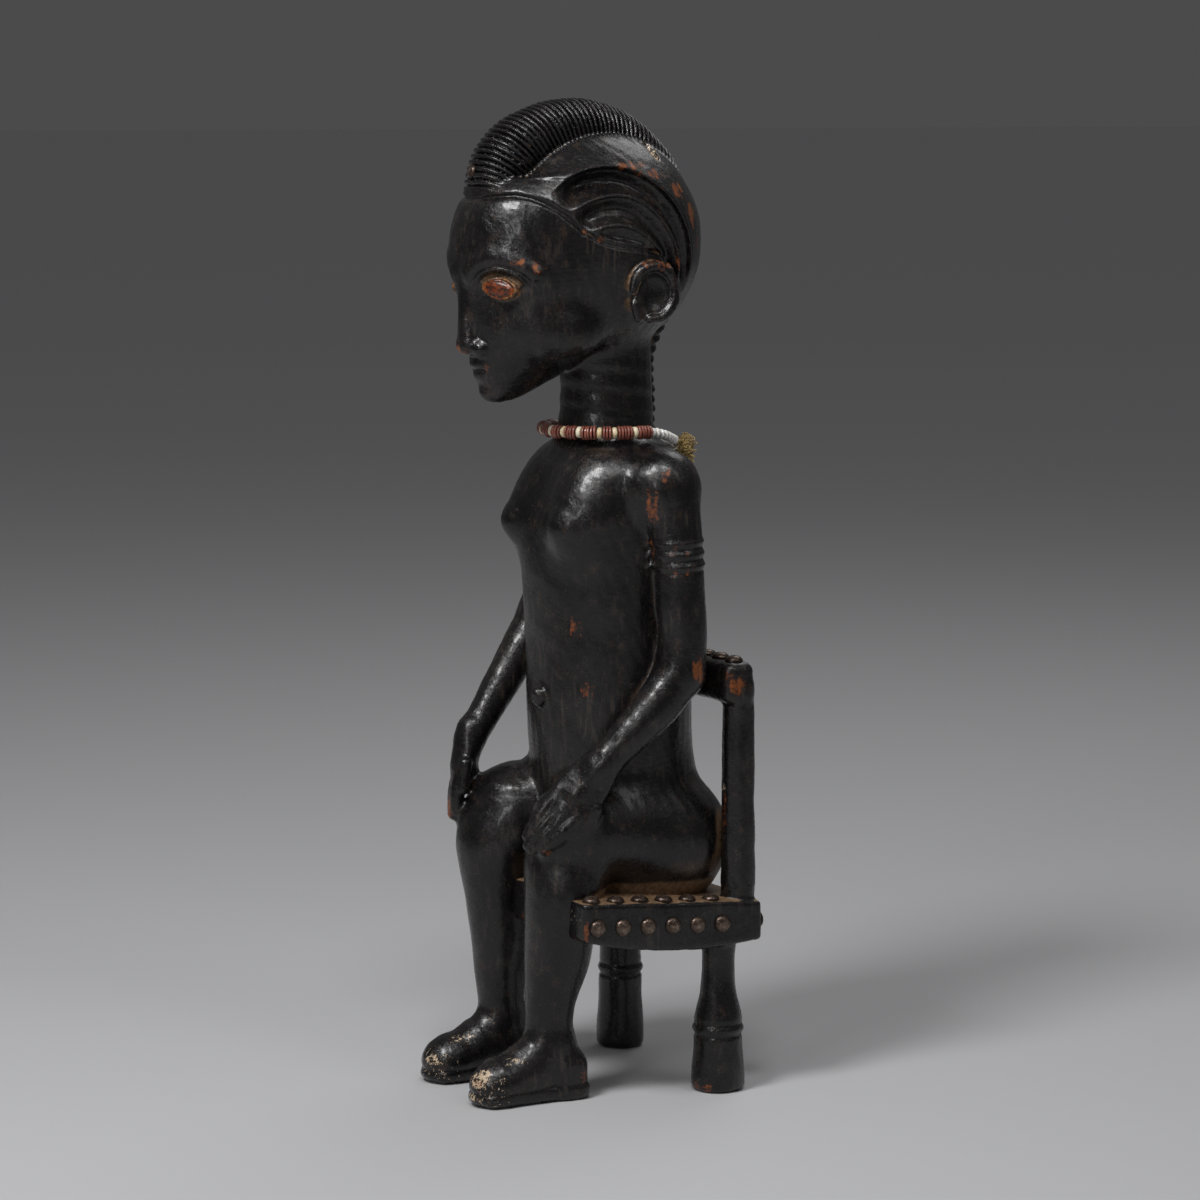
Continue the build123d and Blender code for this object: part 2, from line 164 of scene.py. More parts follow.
def loft(rows, power=2.0):
    """A form through level ellipses: rows of (z, middle x, middle y, half x, half y)."""
    rows = sorted(rows)
    zs = [r[0] for r in rows]
    tables = [smooth_table(zs, [r[i] for r in rows]) for i in range(1, 5)]
    z0, z1 = zs[0], zs[-1]

    def f(p):
        z = np.clip(p[:, 2], z0, z1)
        cx, cy, rx, ry = [np.interp(z, t[0], t[1]).astype(F) for t in tables]
        u, v = np.abs(p[:, 0] - cx) / rx, np.abs(p[:, 1] - cy) / ry
        if power == 2.0:
            g = np.sqrt(u * u + v * v) + 1e-6
        else:
            g = (u ** power + v ** power) ** (1 / power) + 1e-6
        flatness = np.clip(1.15 - 0.15 * np.abs(rx / ry - 1), 0.7, 1.15)
        side = (g - 1) * np.minimum(rx, ry) * flatness
        cap = np.abs(p[:, 2] - (z0 + z1) / 2) - (z1 - z0) / 2
        return smax(side, cap, 4.0)

    lo = [min(r[1] - r[3] for r in rows), min(r[2] - r[4] for r in rows), z0]
    hi = [max(r[1] + r[3] for r in rows), max(r[2] + r[4] for r in rows), z1]
    return f, vec(lo), vec(hi)


def rounded_box(q, r):
    """Distance to a box with edges of radius r; q is how far outside each pair of faces."""
    q = q + r
    return norms(np.maximum(q, 0)) + np.minimum(q.max(1), 0) - r


def block(lo, hi, r):
    lo, hi = vec(lo), vec(hi)

    def f(p):
        return rounded_box(np.abs(p - (lo + hi) / 2) - (hi - lo) / 2, r)

    return f, lo, hi


def waves(seed, lengths):
    """Smooth noise of about unit size made of sine waves of those lengths."""
    g = np.random.default_rng(seed)
    terms = []
    for length in lengths:
        for _ in range(3):
            d = g.normal(size=3)
            wave = (d / np.linalg.norm(d) * 2 * np.pi / length).astype(F)
            terms.append((wave, g.uniform(0, 6.28)))

    def f(p):
        total = np.zeros(len(p), F)
        for k, phase in terms:
            total += np.sin(p @ k + F(phase))
        return total / math.sqrt(len(terms))

    return f


def polyline_distance(y, z, line):
    """Signed distance in the side view to a line running front to back: positive above it.
    Also how far along it (0 to 1) the nearest point lies."""
    line = vec(line)
    best = np.full(len(y), 1e9, F)
    sign = np.ones(len(y), F)
    where = np.zeros(len(y), F)
    seg = np.sqrt((np.diff(line, axis=0) ** 2).sum(1))
    run = np.concatenate([[0], np.cumsum(seg)]) / seg.sum()
    for i in range(len(line) - 1):
        a, b = line[i], line[i + 1]
        ab = b - a
        t = np.clip(((y - a[0]) * ab[0] + (z - a[1]) * ab[1]) / (ab @ ab), 0, 1)
        dy, dz = y - a[0] - t * ab[0], z - a[1] - t * ab[1]
        d = dy * dy + dz * dz
        near = d < best
        best = np.where(near, d, best)
        side = ab[0] * dz - ab[1] * dy
        sign = np.where(near, np.where(side >= 0, 1, -1), sign)
        where = np.where(near, run[i] + t * (run[i + 1] - run[i]), where)
    return np.sqrt(best) * sign, where


class Field:
    """Forms joined in order; each is looked at only near its own box."""
    def __init__(self):
        self.ops = []

    def add(self, form, k=3.0, mode="join", reach=14.0):
        """Joins, cuts away or shifts the surface by a form, blended over a width k."""
        f, lo, hi = form
        self.ops.append((f, lo - reach, hi + reach, k, mode))

    def __call__(self, p):
        d = np.full(len(p), 40.0, F)
        plo, phi = p.min(0), p.max(0)
        for f, lo, hi, k, mode in self.ops:
            if (plo > hi).any() or (phi < lo).any():
                continue
            m = ((p > lo) & (p < hi)).all(1)
            if not m.any():
                continue
            q, old = p[m], d[m]
            if mode == "join":
                d[m] = smin(old, f(q), k)
            elif mode == "cut":
                d[m] = smax(old, -f(q), k)
            else:
                d[m] = old + f(q, old)
        return d

    def gradient(self, p, e=0.3):
        g = np.zeros_like(p)
        for s in ((1, 1, 1), (1, -1, -1), (-1, 1, -1), (-1, -1, 1)):
            s = vec(s)
            g += s * self(p + s * F(e))[:, None]
        return g / (4 * e)


def within(f, lo, hi):
    return f, vec(lo), vec(hi)


def near_only(thickness, settled):
    """Makes a function of points near the surface into a shift of the whole field,
    fading out between the settled depth and the thickness."""
    def wrap(heights):
        def f(p, old):
            out = np.zeros(len(p), F)
            near = np.abs(old) < thickness
            if near.any():
                out[near] = heights(p[near]) * step(thickness, settled, np.abs(old[near]))
            return -out
        return f
    return wrap


# ------------------------------------------------------------------ meshing
def lattice_mesh(field, xs, ys, zs, warp=None):
    """Surface nets on a lattice that may narrow with height; returns vertices and quads."""
    nx, ny, nz = len(xs), len(ys), len(zs)
    values = np.empty((nx, ny, nz), F)
    gx, gy = np.meshgrid(xs, ys, indexing="ij")
    slab = 4

    def place(u, v, z):
        if warp is None:
            return np.stack([u, v, z], 1).astype(F)
        sx, cy, sy = warp(z)
        return np.stack([u * sx, cy + v * sy, z], 1).astype(F)

    for k in range(0, nz, slab):
        z = zs[k:k + slab]
        u = np.repeat(gx.ravel(), len(z))
        v = np.repeat(gy.ravel(), len(z))
        w = np.tile(z, nx * ny)
        values[:, :, k:k + slab] = field(place(u, v, w)).reshape(nx, ny, len(z))
    inside = values < 0
    count = np.zeros((nx - 1, ny - 1, nz - 1), np.int8)
    corners = [(i, j, k) for i in (0, 1) for j in (0, 1) for k in (0, 1)]
    for i, j, k in corners:
        count += inside[i:nx - 1 + i, j:ny - 1 + j, k:nz - 1 + k]
    ci, cj, ck = np.nonzero((count > 0) & (count < 8))
    corner_values = np.stack([values[ci + i, cj + j, ck + k] for i, j, k in corners], 1)
    total = np.zeros((len(ci), 3))
    hits = np.zeros(len(ci))
    for a in range(8):
        for b in range(a + 1, 8):
            ca, cb = np.array(corners[a]), np.array(corners[b])
            if np.abs(ca - cb).sum() != 1:
                continue
            va, vb = corner_values[:, a], corner_values[:, b]
            cross = (va < 0) != (vb < 0)
            t = np.where(cross, va / np.where(cross, va - vb, 1), 0)
            total += np.where(cross[:, None], ca + t[:, None] * (cb - ca), 0)
            hits += cross
    local = total / hits[:, None]
    cells = np.stack([ci, cj, ck], 1) + local
    u, v, w = [np.interp(cells[:, i], np.arange(len(ts)), ts) for i, ts in enumerate((xs, ys, zs))]
    points = place(u, v, w)
    ids = np.full((nx - 1, ny - 1, nz - 1), -1, np.int32)
    ids[ci, cj, ck] = np.arange(len(ci))
    quads = []
    for axis in range(3):
        lo = [slice(1, n - 1) for n in (nx, ny, nz)]
        lo[axis] = slice(0, (nx, ny, nz)[axis] - 1)
        hi = list(lo)
        hi[axis] = slice(1, (nx, ny, nz)[axis])
        a, b = inside[tuple(lo)], inside[tuple(hi)]
        pos = np.nonzero(a != b)
        start = [s.start for s in lo]
        cell = [p + s for p, s in zip(pos, start)]
        flip = a[pos]
        o1, o2 = [x for x in range(3) if x != axis]
        ring = []
        for d1, d2 in ((-1, -1), (0, -1), (0, 0), (-1, 0)):
            c = list(cell)
            c[o1] = c[o1] + d1
            c[o2] = c[o2] + d2
            ring.append(ids[c[0], c[1], c[2]])
        q = np.stack(ring, 1)
        keep = flip if axis != 1 else ~flip
        q[~keep] = q[~keep][:, ::-1]
        quads.append(q)
    return points, np.concatenate(quads)


def settle(field, points, rounds):
    """Pulls vertices exactly on to the surface."""
    for _ in range(rounds):
        d = field(points)
        g = field.gradient(points)
        n2 = np.maximum((g * g).sum(1), 0.25)
        points = points - (np.clip(d, -0.5, 0.5) / n2)[:, None] * g
    return points.astype(F)


def normals_of(field, points):
    g = field.gradient(points, 0.6)
    return g / np.maximum(norms(g), 1e-6)[:, None]


def link_object(name, data):
    obj = bpy.data.objects.new(name, data)
    bpy.context.scene.collection.objects.link(obj)
    return obj


def make_object(name, points, faces, material):
    """An object from points in millimetres and quads, quick even for a million of them."""
    mesh = bpy.data.meshes.new(name)
    mesh.vertices.add(len(points))
    mesh.vertices.foreach_set("co", (np.asarray(points, float) * MM).ravel())
    n, w = faces.shape
    mesh.loops.add(n * w)
    mesh.loops.foreach_set("vertex_index", faces.ravel().astype(np.int32))
    mesh.polygons.add(n)
    mesh.polygons.foreach_set("loop_start", np.arange(0, n * w, w, dtype=np.int32))
    mesh.polygons.foreach_set("use_smooth", np.full(n, True))
    mesh.update(calc_edges=True)
    mesh.validate()
    mesh.materials.append(material)
    return link_object(name, mesh)


def attribute(obj, name, values):
    a = obj.data.attributes.get(name) or obj.data.attributes.new(name, "FLOAT", "POINT")
    a.data.foreach_set("value", np.asarray(values, F))


# ------------------------------------------------------------------ the carved figure
FEW = 6  # pieces of a short limb, such as a finger
figure = Field()
put = figure.add

# trunk, shoulders, neck
TRUNK = [(92, 0, 26, 40, 37), (125, 0, 26, 47, 41), (150, 0, 24, 46, 42), (172, 0, 20.5, 44, 41),
         (205, 0, 19, 45, 41), (240, 0, 18.5, 45.5, 41), (275, 0, 18, 47, 42.5),
         (300, 0, 19.5, 49, 42), (317, 0, 19.5, 50, 38), (328, 0, 17.5, 46, 33), (337, 0, 17, 35, 28)]
NECK = [(326, 0, 17, 31, 31), (338, 0, 17, 26.5, 26.5), (352, 0, 17.2, 24.2, 24.4),
        (372, 0, 17, 23.6, 23.8), (392, 0, 15, 25, 25.5), (410, 0, 12, 30, 32)]
put(loft(TRUNK, 2.3), 6)
put(chain([(-47, 24, 318, 16.0), (0, 22, 318, 20.0), (47, 26, 318, 16.0)]), 10)
put(loft(NECK), 7)
for s in (1, -1):
    # breasts, low and pointed
    put(ell((s * 23, -6, 300), (17, 16.5, 24)), 14)
    put(cone((s * 24, -5, 301), (s * 26.0, -21.2 + 1.2 * s, 296.0), 14.6, 7.2), 12)
    # shoulder caps and buttocks
    put(ell((s * 47, 26, 316), (17.5, 18, 20)), 7)
    put(ell((s * 26, 41, 128), (28, 30, 33)), 8)
# navel
put(ell((2.5, -23.2, 206.5), (5.4, 3.6, 5.6)), 3.0)
put(ell((2.5, -25.8, 208), (3.2, 1.8, 2.8)), 1.6)

# left arm, then the right arm, which is set further forward
put(chain([(50, 27, 314, 15.5), (55, 29, 292, 13.2), (57.5, 30, 262, 12.6), (57.5, 31, 238, 12.8),
           (56.5, 30, 222, 13.0)]), 4)
put(chain([(56.5, 30, 222, 12.6), (56, 14, 203, 11.6), (53, -2, 187, 9.6), (50.5, -12, 176, 8.2)]), 3)
put(chain([(-50, 24, 314, 15.5), (-55, 22, 290, 12.8), (-57, 14, 258, 12.2), (-56, 7, 240, 12.2)]), 4)
put(chain([(-56, 7, 240, 12.0), (-53, -13, 213, 10.2), (-50, -29.5, 190, 8.6), (-48, -38.5, 178, 7.8)]),
    3)


def hand(wrist, tip, outward, spread, thumb_side):
    """A flat hand: palm, four fingers that draw together at their ends, and a thumb."""
    wrist, tip = np.array(wrist, float), np.array(tip, float)
    d = tip - wrist
    length = np.linalg.norm(d)
    ax = axes_from(d, outward)
    along, across, out = ax
    mid = wrist + along * length * 0.30
    put(ell(mid, (length * 0.42, spread * 0.94, 6.0), ax), 6)
    put(cone(wrist - along * 6, wrist + along * length * 0.3, 7.4, 6.0), 4)
    for i in range(4):
        u = (i - 1.5) / 1.5
        aside = across * u * spread
        knuckle = wrist + along * length * (0.42 - 0.03 * abs(u)) + aside * 0.56 + out * 1.0
        middle = wrist + along * length * (0.72 - 0.03 * abs(u)) + aside * 0.51 + out * 0.6
        end = wrist + along * length * (0.98 - 0.09 * abs(u)) + aside * 0.37 - out * 1.0
        put(chain([(*knuckle, 3.6), (*middle, 3.5), (*end, 2.9)], FEW), 0.7)
    root = wrist + along * length * 0.30 + across * thumb_side * spread * 0.85
    top = wrist + along * length * 0.62 + across * thumb_side * spread * 0.80 - out * 1.6
    put(chain([(*root, 3.6), (*top, 2.5)], FEW), 1.2)


hand((50.5, -13, 175), (38, -49, 132.5), (0.80, -0.42, 0.42), 14.0, 1)
hand((-48, -39.5, 177), (-45.5, -51.5, 137), (-0.35, -0.93, 0.1), 11.5, 1)

# legs: a thigh each, then knee and shin in one
put(chain([(24, 42, 133, 28), (26, 12, 137, 28), (28, -14, 139, 26.0)]), 9)
LEFT_SHIN = [(12, 29, -32.5, 12.5, 12.5), (32, 29, -32, 12.2, 12.2), (55, 29, -30.5, 13.6, 13.6),
             (85, 31, -27.2, 18.4, 17.4), (112, 31, -22.8, 22.4, 21.2), (128, 28, -18.2, 23.8, 23.8),
             (140, 28, -13.4, 23.5, 23.5), (152, 28, -10, 19, 19)]
RIGHT_SHIN = [(12, -29, -30, 12.5, 12.5), (32, -29, -30, 12.2, 12.2), (55, -30, -30.5, 13.6, 13.6),
              (85, -30, -31.5, 16.0, 16.0), (112, -30, -32.5, 19.8, 19.8),
              (128, -30.5, -29, 24.2, 24.2), (140, -31, -24.5, 24.2, 24.2), (153, -31, -18, 20, 20)]
for rows in (LEFT_SHIN, RIGHT_SHIN):
    put(loft(rows), 6)
put(chain([(-24, 42, 133, 28), (-27, 10, 138, 28), (-30, -19, 141, 26.2)]), 9)
# calves
for s in (1, -1):
    put(ell((s * 29.5, -21.5 - 1.5 * s, 82), (12.5, 13.5, 28)), 8)

# shoes: toe, vamp, heel, over a flat sole
for s in (1, -1):
    put(chain([(s * 29, -27, 16, 13.2), (s * 29, -44, 14, 13.6), (s * 29, -60, 11.5, 13.2)]), 4)
    put(chain([(s * 29, -30, 27, 12.6), (s * 29, -43, 21, 11.0)]), 6)
    put(ell((s * 29, -62, 10), (13.4, 14.2, 10.5)), 4)
    put(block((s * 29 - 13, -72.5, 0), (s * 29 + 13, -14.0, 9), 4.5), 3)
    put(ell((s * 29, -62, 4.2), (13.6, 14.8, 5.4)), 2)
    put(block((s * 29 - 13.0, -30, 0), (s * 29 + 13.0, -14.6, 22), 5.0), 7)

# head
put(ell((0, 5, 438), (46.5, 56.5, 56)), 6)
FACE = [(360.0, 0, -44.5, 3.6, 5.4), (366, 0, -40, 9.2, 14), (376, 0, -33, 18.2, 25.0),
        (392, 0, -25.5, 30, 35), (404, 0, -22, 35.5, 41.5), (415, 0, -19.5, 39.5, 46.5),
        (428, 0, -15, 42.5, 52.5), (440, 0, -11.5, 44.5, 56.5), (452, 0, -9, 44.5, 57.5),
        (464, 0, -6, 42.5, 55.5), (474, 0, -3, 36, 50)]
put(loft(FACE, 2.15), 5)
put(ell((0, 9, 443), (48.5, 56.5, 57)), 4)
# jaw corners and cheeks
for s in (1, -1):
    put(ell((s * 27, -22, 398), (14, 22, 15)), 9)
    # eye hollow, brow and the eye itself
    hollow = axes_from((s * 0.84, 0.5, -0.08), (s * 0.5, -0.84, 0.1))
    put(ell((s * 28, -63.2, 413), (15, 18, 10.2), hollow), 10, "cut")
    put(chain([(s * 8, -63.4, 427, 2.4), (s * 19, -60.0, 433.5, 2.6), (s * 30, -52.4, 433.5, 2.6),
               (s * 38, -43.6, 427, 2.0)]), 8)
EYE_LONG, EYE_HIGH, EYE_PROUD = 10.2, 5.2, 2.9
EYES = {}
for s in (1, -1):
    ax = axes_from((s * 0.82, 0.565, -0.09), (s * 0.53, -0.84, 0.08))
    c = vec((s * 24.3, -56.0, 419.5))
    EYES[s] = (c, ax)
    put(ell(c, (EYE_LONG, EYE_HIGH, EYE_PROUD), vec([ax[0], s * ax[1], ax[2]])), 1.0)


def almond(a, b):
    """How far out a point is in the eye's almond, 1 on its edge: a along the eye, b up it."""
    narrowing = np.clip(1.1 - 0.25 * np.abs(a) / EYE_LONG, 0.5, 1.2)
    return np.sqrt((a / EYE_LONG) ** 2 + (np.abs(b) / (EYE_HIGH * narrowing)) ** 2)


# nose, long and narrow, with small wings
put(chain([(0, -62.4, 425, 3.8), (0, -61.6, 407, 5.8), (0, -60.2, 392.5, 7.6)]), 2.4)
for s in (1, -1):
    put(ell((s * 7.6, -57.6, 388.6), (5.0, 6.0, 4.6)), 2.4)
put(ell((0, -63.2, 389.8), (5.8, 4.6, 4.6)), 2.4)
# lips and chin
put(ell((0, -54.6, 380.2), (8.6, 5.2, 3.4)), 2.6)
put(ell((0, -52.6, 374.6), (7.6, 5.0, 3.2)), 2.6)
put(ell((0, -48.6, 365.2), (6.6, 6.6, 5.2)), 3)
# ears: a hooked rim round a shallow bowl; the rim's thickness at each angle from the back
EAR_RIM = ((172, 2.4), (140, 3.0), (105, 3.2), (70, 3.1), (35, 2.9), (0, 2.7), (-35, 2.7),
           (-70, 2.6), (-100, 2.2))
for s in (1, -1):
    put(ell((s * 45.5, 21, 416), (5.0, 13.0, 14.5)), 3.5)
    put(ell((s * 53.0, 18.5, 416), (6.0, 9.0, 10.8)), 1.2, "cut")
    arc = []
    for deg, r in EAR_RIM:
        a = math.radians(deg)
        lift = 49.2 + 1.2 * math.cos(a) + (0.8 if deg > 90 else 0)
        arc.append((s * lift, 18.5 + 12.0 * math.cos(a), 417.0 + 13.6 * math.sin(a), 0.88 * r))
    put(chain(arc), 1.6)
    put(chain([(s * 46.4, 9.0, 411, 2.2), (s * 46.0, 11.5, 404, 2.2)], FEW), 2.5)
# plait down the back of the neck
put(chain([(0, 50, 404, 5.0), (0, 40.5, 385, 4.9), (0, 40.2, 360, 4.9), (0, 40.6, 340, 4.8),
           (0, 43, 330, 4.0)]), 1.2)

# the ribbed comb of hair: its crest in polar form about the middle of the head (degrees, radius)
COMB_MIDDLE = (10.0, 440.0)
COMB = [(158.5, 76.0), (147, 80.5), (129.8, 81.3), (113.8, 79.2), (97.5, 76.4), (82, 72.3),
        (65.5, 67.6), (46.9, 63.0), (25.5, 58.6), (0, 56.5), (-27, 57.2), (-46, 58.4)]
COMB = sorted((math.radians(a), r) for a, r in COMB)
comb_a, comb_r = smooth_table([c[0] for c in COMB], [c[1] for c in COMB])
comb_s = np.concatenate([[0], np.cumsum((comb_r[1:] + comb_r[:-1]) / 2 * np.diff(comb_a))]).astype(F)
COMB_LENGTH = comb_s[-1]
RIB_PITCH, RIB_DEPTH, RIB_SLANT = 3.3, 2.1, 0.10
# how far outside the comb's form its carved skin can lie
COMB_SKIN = 2.4


def comb_place(p):
    """A point's distance from the middle of the head, the crest's there, how far along the
    crest it lies, and how far beyond an end."""
    y, z = p[:, 1] - COMB_MIDDLE[0], p[:, 2] - COMB_MIDDLE[1]
    a = np.arctan2(z, y)
    a = np.where(a < -2.4, a + 2 * np.pi, a).astype(F)
    rho = np.sqrt(y * y + z * z)
    held = np.clip(a, comb_a[0], comb_a[-1])
    r = np.interp(held, comb_a, comb_r).astype(F)
    s = np.interp(held, comb_a, comb_s).astype(F)
    return rho, r, s, np.abs(a - held) * rho


def comb_form(p):
    rho, r, s, beyond = comb_place(p)
    # the comb is lower and narrower towards the nape
    half = np.interp(s, [0, 60, 150, COMB_LENGTH], [13.5, 16.5, 18.0, 16.0]).astype(F)
    depth = np.interp(s, [0, 60, 150, COMB_LENGTH - 14, COMB_LENGTH], [12.0, 13.5, 14.5, 14.5, 11.0])
    depth = depth.astype(F)
    x = np.abs(p[:, 0]) / half
    v = (rho - (r - depth)) / depth
    v = np.where(v < 0, v * 0.7, v)
    g = np.sqrt(x * x + v * v) + 1e-6
    d = smax((g - 1) * np.minimum(half, depth) * 0.9, beyond - 1.0, 5.0)
    rib = np.abs(np.sin((s + RIB_SLANT * np.abs(p[:, 0])) * (np.pi / RIB_PITCH)))
    wobble = 0.85 + 0.15 * np.sin(s * 0.37 + 1.0)
    cut = (1 - rib) ** 1.5 * RIB_DEPTH * wobble
    return d + cut * step(COMB_LENGTH + 2, COMB_LENGTH - 5, s) - 0.35


put(within(comb_form, (-16, -68, 385), (16, 72, 520)), 1.6)

# overlapping locks of hair sweep back from the hairline, and down behind the ear;
# lines are in the side view (y, z)
HAIRLINE = flowing([(-66, 462.5), (-60, 464), (-50, 466), (-40, 463.5), (-31, 458), (-21, 450),
                    (-10, 443), (4, 439.5), (16, 438), (27, 434), (36, 424), (39, 408), (37, 396)], 24)
# each lock: its lip, how far the lip stands out and how fast it dies away above,
# then how deep and how wide the face is that falls back beneath it
LOCKS = [
    ([(-36, 465), (-30, 470), (-22, 475.5), (-8, 480), (8, 479), (24, 470.5), (36, 458), (43, 443),
      (45, 428), (43, 412)], 2.9, 9.0, 6.6, 8.0),
    ([(-28, 456.5), (-20, 461), (-10, 465), (2, 466), (14, 462), (26, 451.5), (34, 439), (37, 424),
      (36, 409)], 2.0, 3.0, 5.8, 7.5),
    ([(-16, 447.5), (-8, 450.5), (2, 450.8), (11, 447.5), (19, 441.5), (26, 432.5), (30, 421)],
     1.8, 3.0, 3.8, 6.0),
]
LOCKS = [(flowing(line, 22), *form) for line, *form in LOCKS]
HAIR_BOTTOM = 388


@near_only(12, 9)
def locks_form(q):
    x, y, z = q.T
    side = step(14, 24, np.abs(x))
    d, t = polyline_distance(y, z, HAIRLINE)
    run = step(0.0, 0.08, t) * step(1.0, 0.9, t)
    h = (1.3 * step(-0.8, 1.6, d) * step(70, 30, d) - 1.9 * ridge(d - 0.4, 1.3)) * run
    below = d
    for line, high, fall, deep, wide in reversed(LOCKS):
        d, t = polyline_distance(y, z, line)
        ends = step(0.0, 0.10, t) * step(1.0, 0.84, t)
        lip = high * step(-1.4, 1.0, d) * np.exp(-np.maximum(d, 0) / fall)
        face = deep * step(0.8, -wide, d) * step(-0.5, 5.5, below)
        h = h + (lip - face) * side * ends
        below = d
    return h * (z > HAIR_BOTTOM)


put(within(locks_form, (-70, -85, 385), (70, 85, 530)), mode="shift", reach=0)

# carved details: arm rings, neck folds, tool marks, small dents
soft = waves(3, (38, 22))
hand_cut = waves(5, (9.5, 6.0))
fine = waves(9, (3.1, 2.2))
ARM_X, ARM_RINGS = 56, (290, 284, 278)
NECK_Y, FOLD_PITCH = 17, 10.5
MOUTH_Z, SOLE_Z = 377.2, 8.2
PLAIT_HALF, PLAIT_PITCH = 5.4, 5.2
CHIP, CHIP_SIZE = vec((23.0, 31.0, 487.0)), vec((9, 3.2, 9.5))


@near_only(3.5, 1.5)
def details(q):
    x, y, z = q.T
    h = 0.13 * soft(q) + 0.085 * hand_cut(q) + 0.035 * fine(q)
    # three raised rings round each upper arm
    for s, arm_y in ((1, 30), (-1, 21)):
        r = np.sqrt((s * x - ARM_X) ** 2 + (y - arm_y) ** 2)
        on = step(44, 49, s * x) * step(18, 16, r)
        for ring_z in ARM_RINGS:
            up = z - (ring_z + 0.06 * (y - arm_y))
            h = h + 0.75 * ridge(up, 1.25) * on
            h = h - 0.45 * ridge(up + 2.9, 0.7) * on
    # folds of the neck
    on = step(36, 30, np.sqrt(x * x + (y - NECK_Y) ** 2)) * step(346, 352, z) * step(384, 378, z)
    h = h + on * 0.22 * np.sin((z + 0.12 * y) * (2 * np.pi / FOLD_PITCH))
    # the line between lips, and between shoe and sole
    h = h - 0.8 * ridge(z - MOUTH_Z, 0.8) * step(9.5, 6, np.abs(x)) * step(-46, -50, y)
    h = h - 0.55 * ridge(z - SOLE_Z - 0.02 * (y + 40), 0.8) * step(-2, -10, y) * step(20, 16, z)
    # almond outline of the eyes, and the lids above
    for s, (c, ax) in EYES.items():
        a, b, w = ((q - c) @ ax.T).T
        r = almond(a, b)
        close = step(9, 5, np.abs(w)) * step(18, 14, np.abs(a))
        h = h + 0.60 * ridge(r - 0.98, 0.12) * close - 0.55 * ridge(r - 0.74, 0.13) * close
        lid = np.sqrt((a / 14.0) ** 2 + (b / 9.4) ** 2)
        above = step(1, 4, s * b) * step(12, 8, np.abs(w)) * (np.abs(a) < 20)
        h = h + (0.75 * ridge(lid - 1.0, 0.10) - 0.5 * ridge(lid - 1.22, 0.11)) * above
    # grooves beside the plait, and its twist
    groove = 0.9 * ridge(np.abs(x) - PLAIT_HALF, 0.9)
    h = h - groove * step(36, 39, y) * step(340, 350, z) * step(402, 392, z)
    twist = 0.55 * np.sin((z + 0.5 * x) * (2 * np.pi / PLAIT_PITCH))
    h = h + twist * step(5.2, 4.2, np.abs(x)) * step(37, 40, y) * step(334, 342, z) * step(402, 396, z)
    # chip in the comb
    return h - 2.6 * (1 - step(0.5, 1.0, norms((q - CHIP) / CHIP_SIZE)))


put(within(details, (-90, -90, -5), (90, 90, 530)), mode="shift", reach=0)

# ------------------------------------------------------------------ the chair
SEAT_HALF_WIDTH, SEAT_HALF_DEPTH, SEAT_MIDDLE_Y, SEAT_EDGE = 66.0, 52.5, 22.0, 2.6
POST_X, POST_Y = 55.5, 65.5
RAIL_HALF, RAIL_MIDDLE, RAIL_EDGE = (64.3, 8.9, 10.95), (62.5, 214.95), 5.5
LEG_X, LEG_Y = 54, 55
# each leg: side, height of its ring, radius at the foot, radius above
LEGS = ((1, 33.0, 13.9, 9.6), (-1, 44.0, 12.9, 10.3))

chair = Field()
for s in (-1, 1):
    chair.add(cone((s * POST_X, POST_Y, 92), (s * POST_X, POST_Y, 212), 9.0, 8.2), 1)
chair.add(block((-64.3, 53.6, 204), (64.3, 71.4, 225.9), RAIL_EDGE), 2.5)


def seat_form(p):
    """The seat slopes down to the back, and its underside is hollowed."""
    x, y, z = p.T
    t = np.clip((y + 30.5) / 105, 0, 1)
    top = 108.5 - 8.0 * t
    bottom = 88.0 - 8.5 * t - 5.2 * np.sin(np.pi * t)
    q = np.stack([np.abs(x) - SEAT_HALF_WIDTH, np.abs(y - SEAT_MIDDLE_Y) - SEAT_HALF_DEPTH,
                  np.abs(z - (top + bottom) / 2) - (top - bottom) / 2], 1)
    return rounded_box(q, SEAT_EDGE)


chair.add(within(seat_form, (-66, -31, 74), (66, 75, 109)), 1.5)
for s, ring_z, foot, neck in LEGS:
    stations = ((0, foot), (3, foot), (ring_z - 6, foot - 1.1), (ring_z + 6, foot - 1.4),
                (ring_z + 16, neck + 0.6), (80, neck), (90, neck + 1.5))
    chair.add(loft([(z, LEG_X * s, LEG_Y, r, r) for z, r in stations]), 3)


@near_only(3.0, 1.2)
def chair_details(q):
    x, y, z = q.T
    h = 0.22 * soft(q) + 0.10 * hand_cut(q) + 0.03 * fine(q)
    for s, ring_z, *_ in LEGS:
        on = (s * x > 30) & (z < 60)
        up = z - ring_z
        h = h + on * (0.9 * ridge(up, 1.5) - 1.0 * ridge(up + 3.2, 0.9) - 0.4 * ridge(up - 2.8, 0.8))
    # the posts are whittled, not turned
    on = (z > 108) & (z < 203)
    a = np.arctan2(y - POST_Y, np.abs(x) - POST_X)
    return h + on * 0.25 * np.cos(6 * a + 0.01 * z)


chair.add(within(chair_details, (-80, -40, -5), (80, 85, 235)), mode="shift", reach=0)


# the sitter and the seat meet face to face: the figure is cut back by the plain chair
def plain_chair(p):
    x, y, z = p.T
    (half_x, half_y, half_z), (mid_y, mid_z) = RAIL_HALF, RAIL_MIDDLE
    q = np.stack([np.abs(x) - half_x, np.abs(y - mid_y) - half_y, np.abs(z - mid_z) - half_z], 1)
    return np.minimum(seat_form(p), rounded_box(q, RAIL_EDGE)) + 0.6


figure.add(within(plain_chair, (-66, -31, 74), (66, 75, 226)), 0.6, "cut")
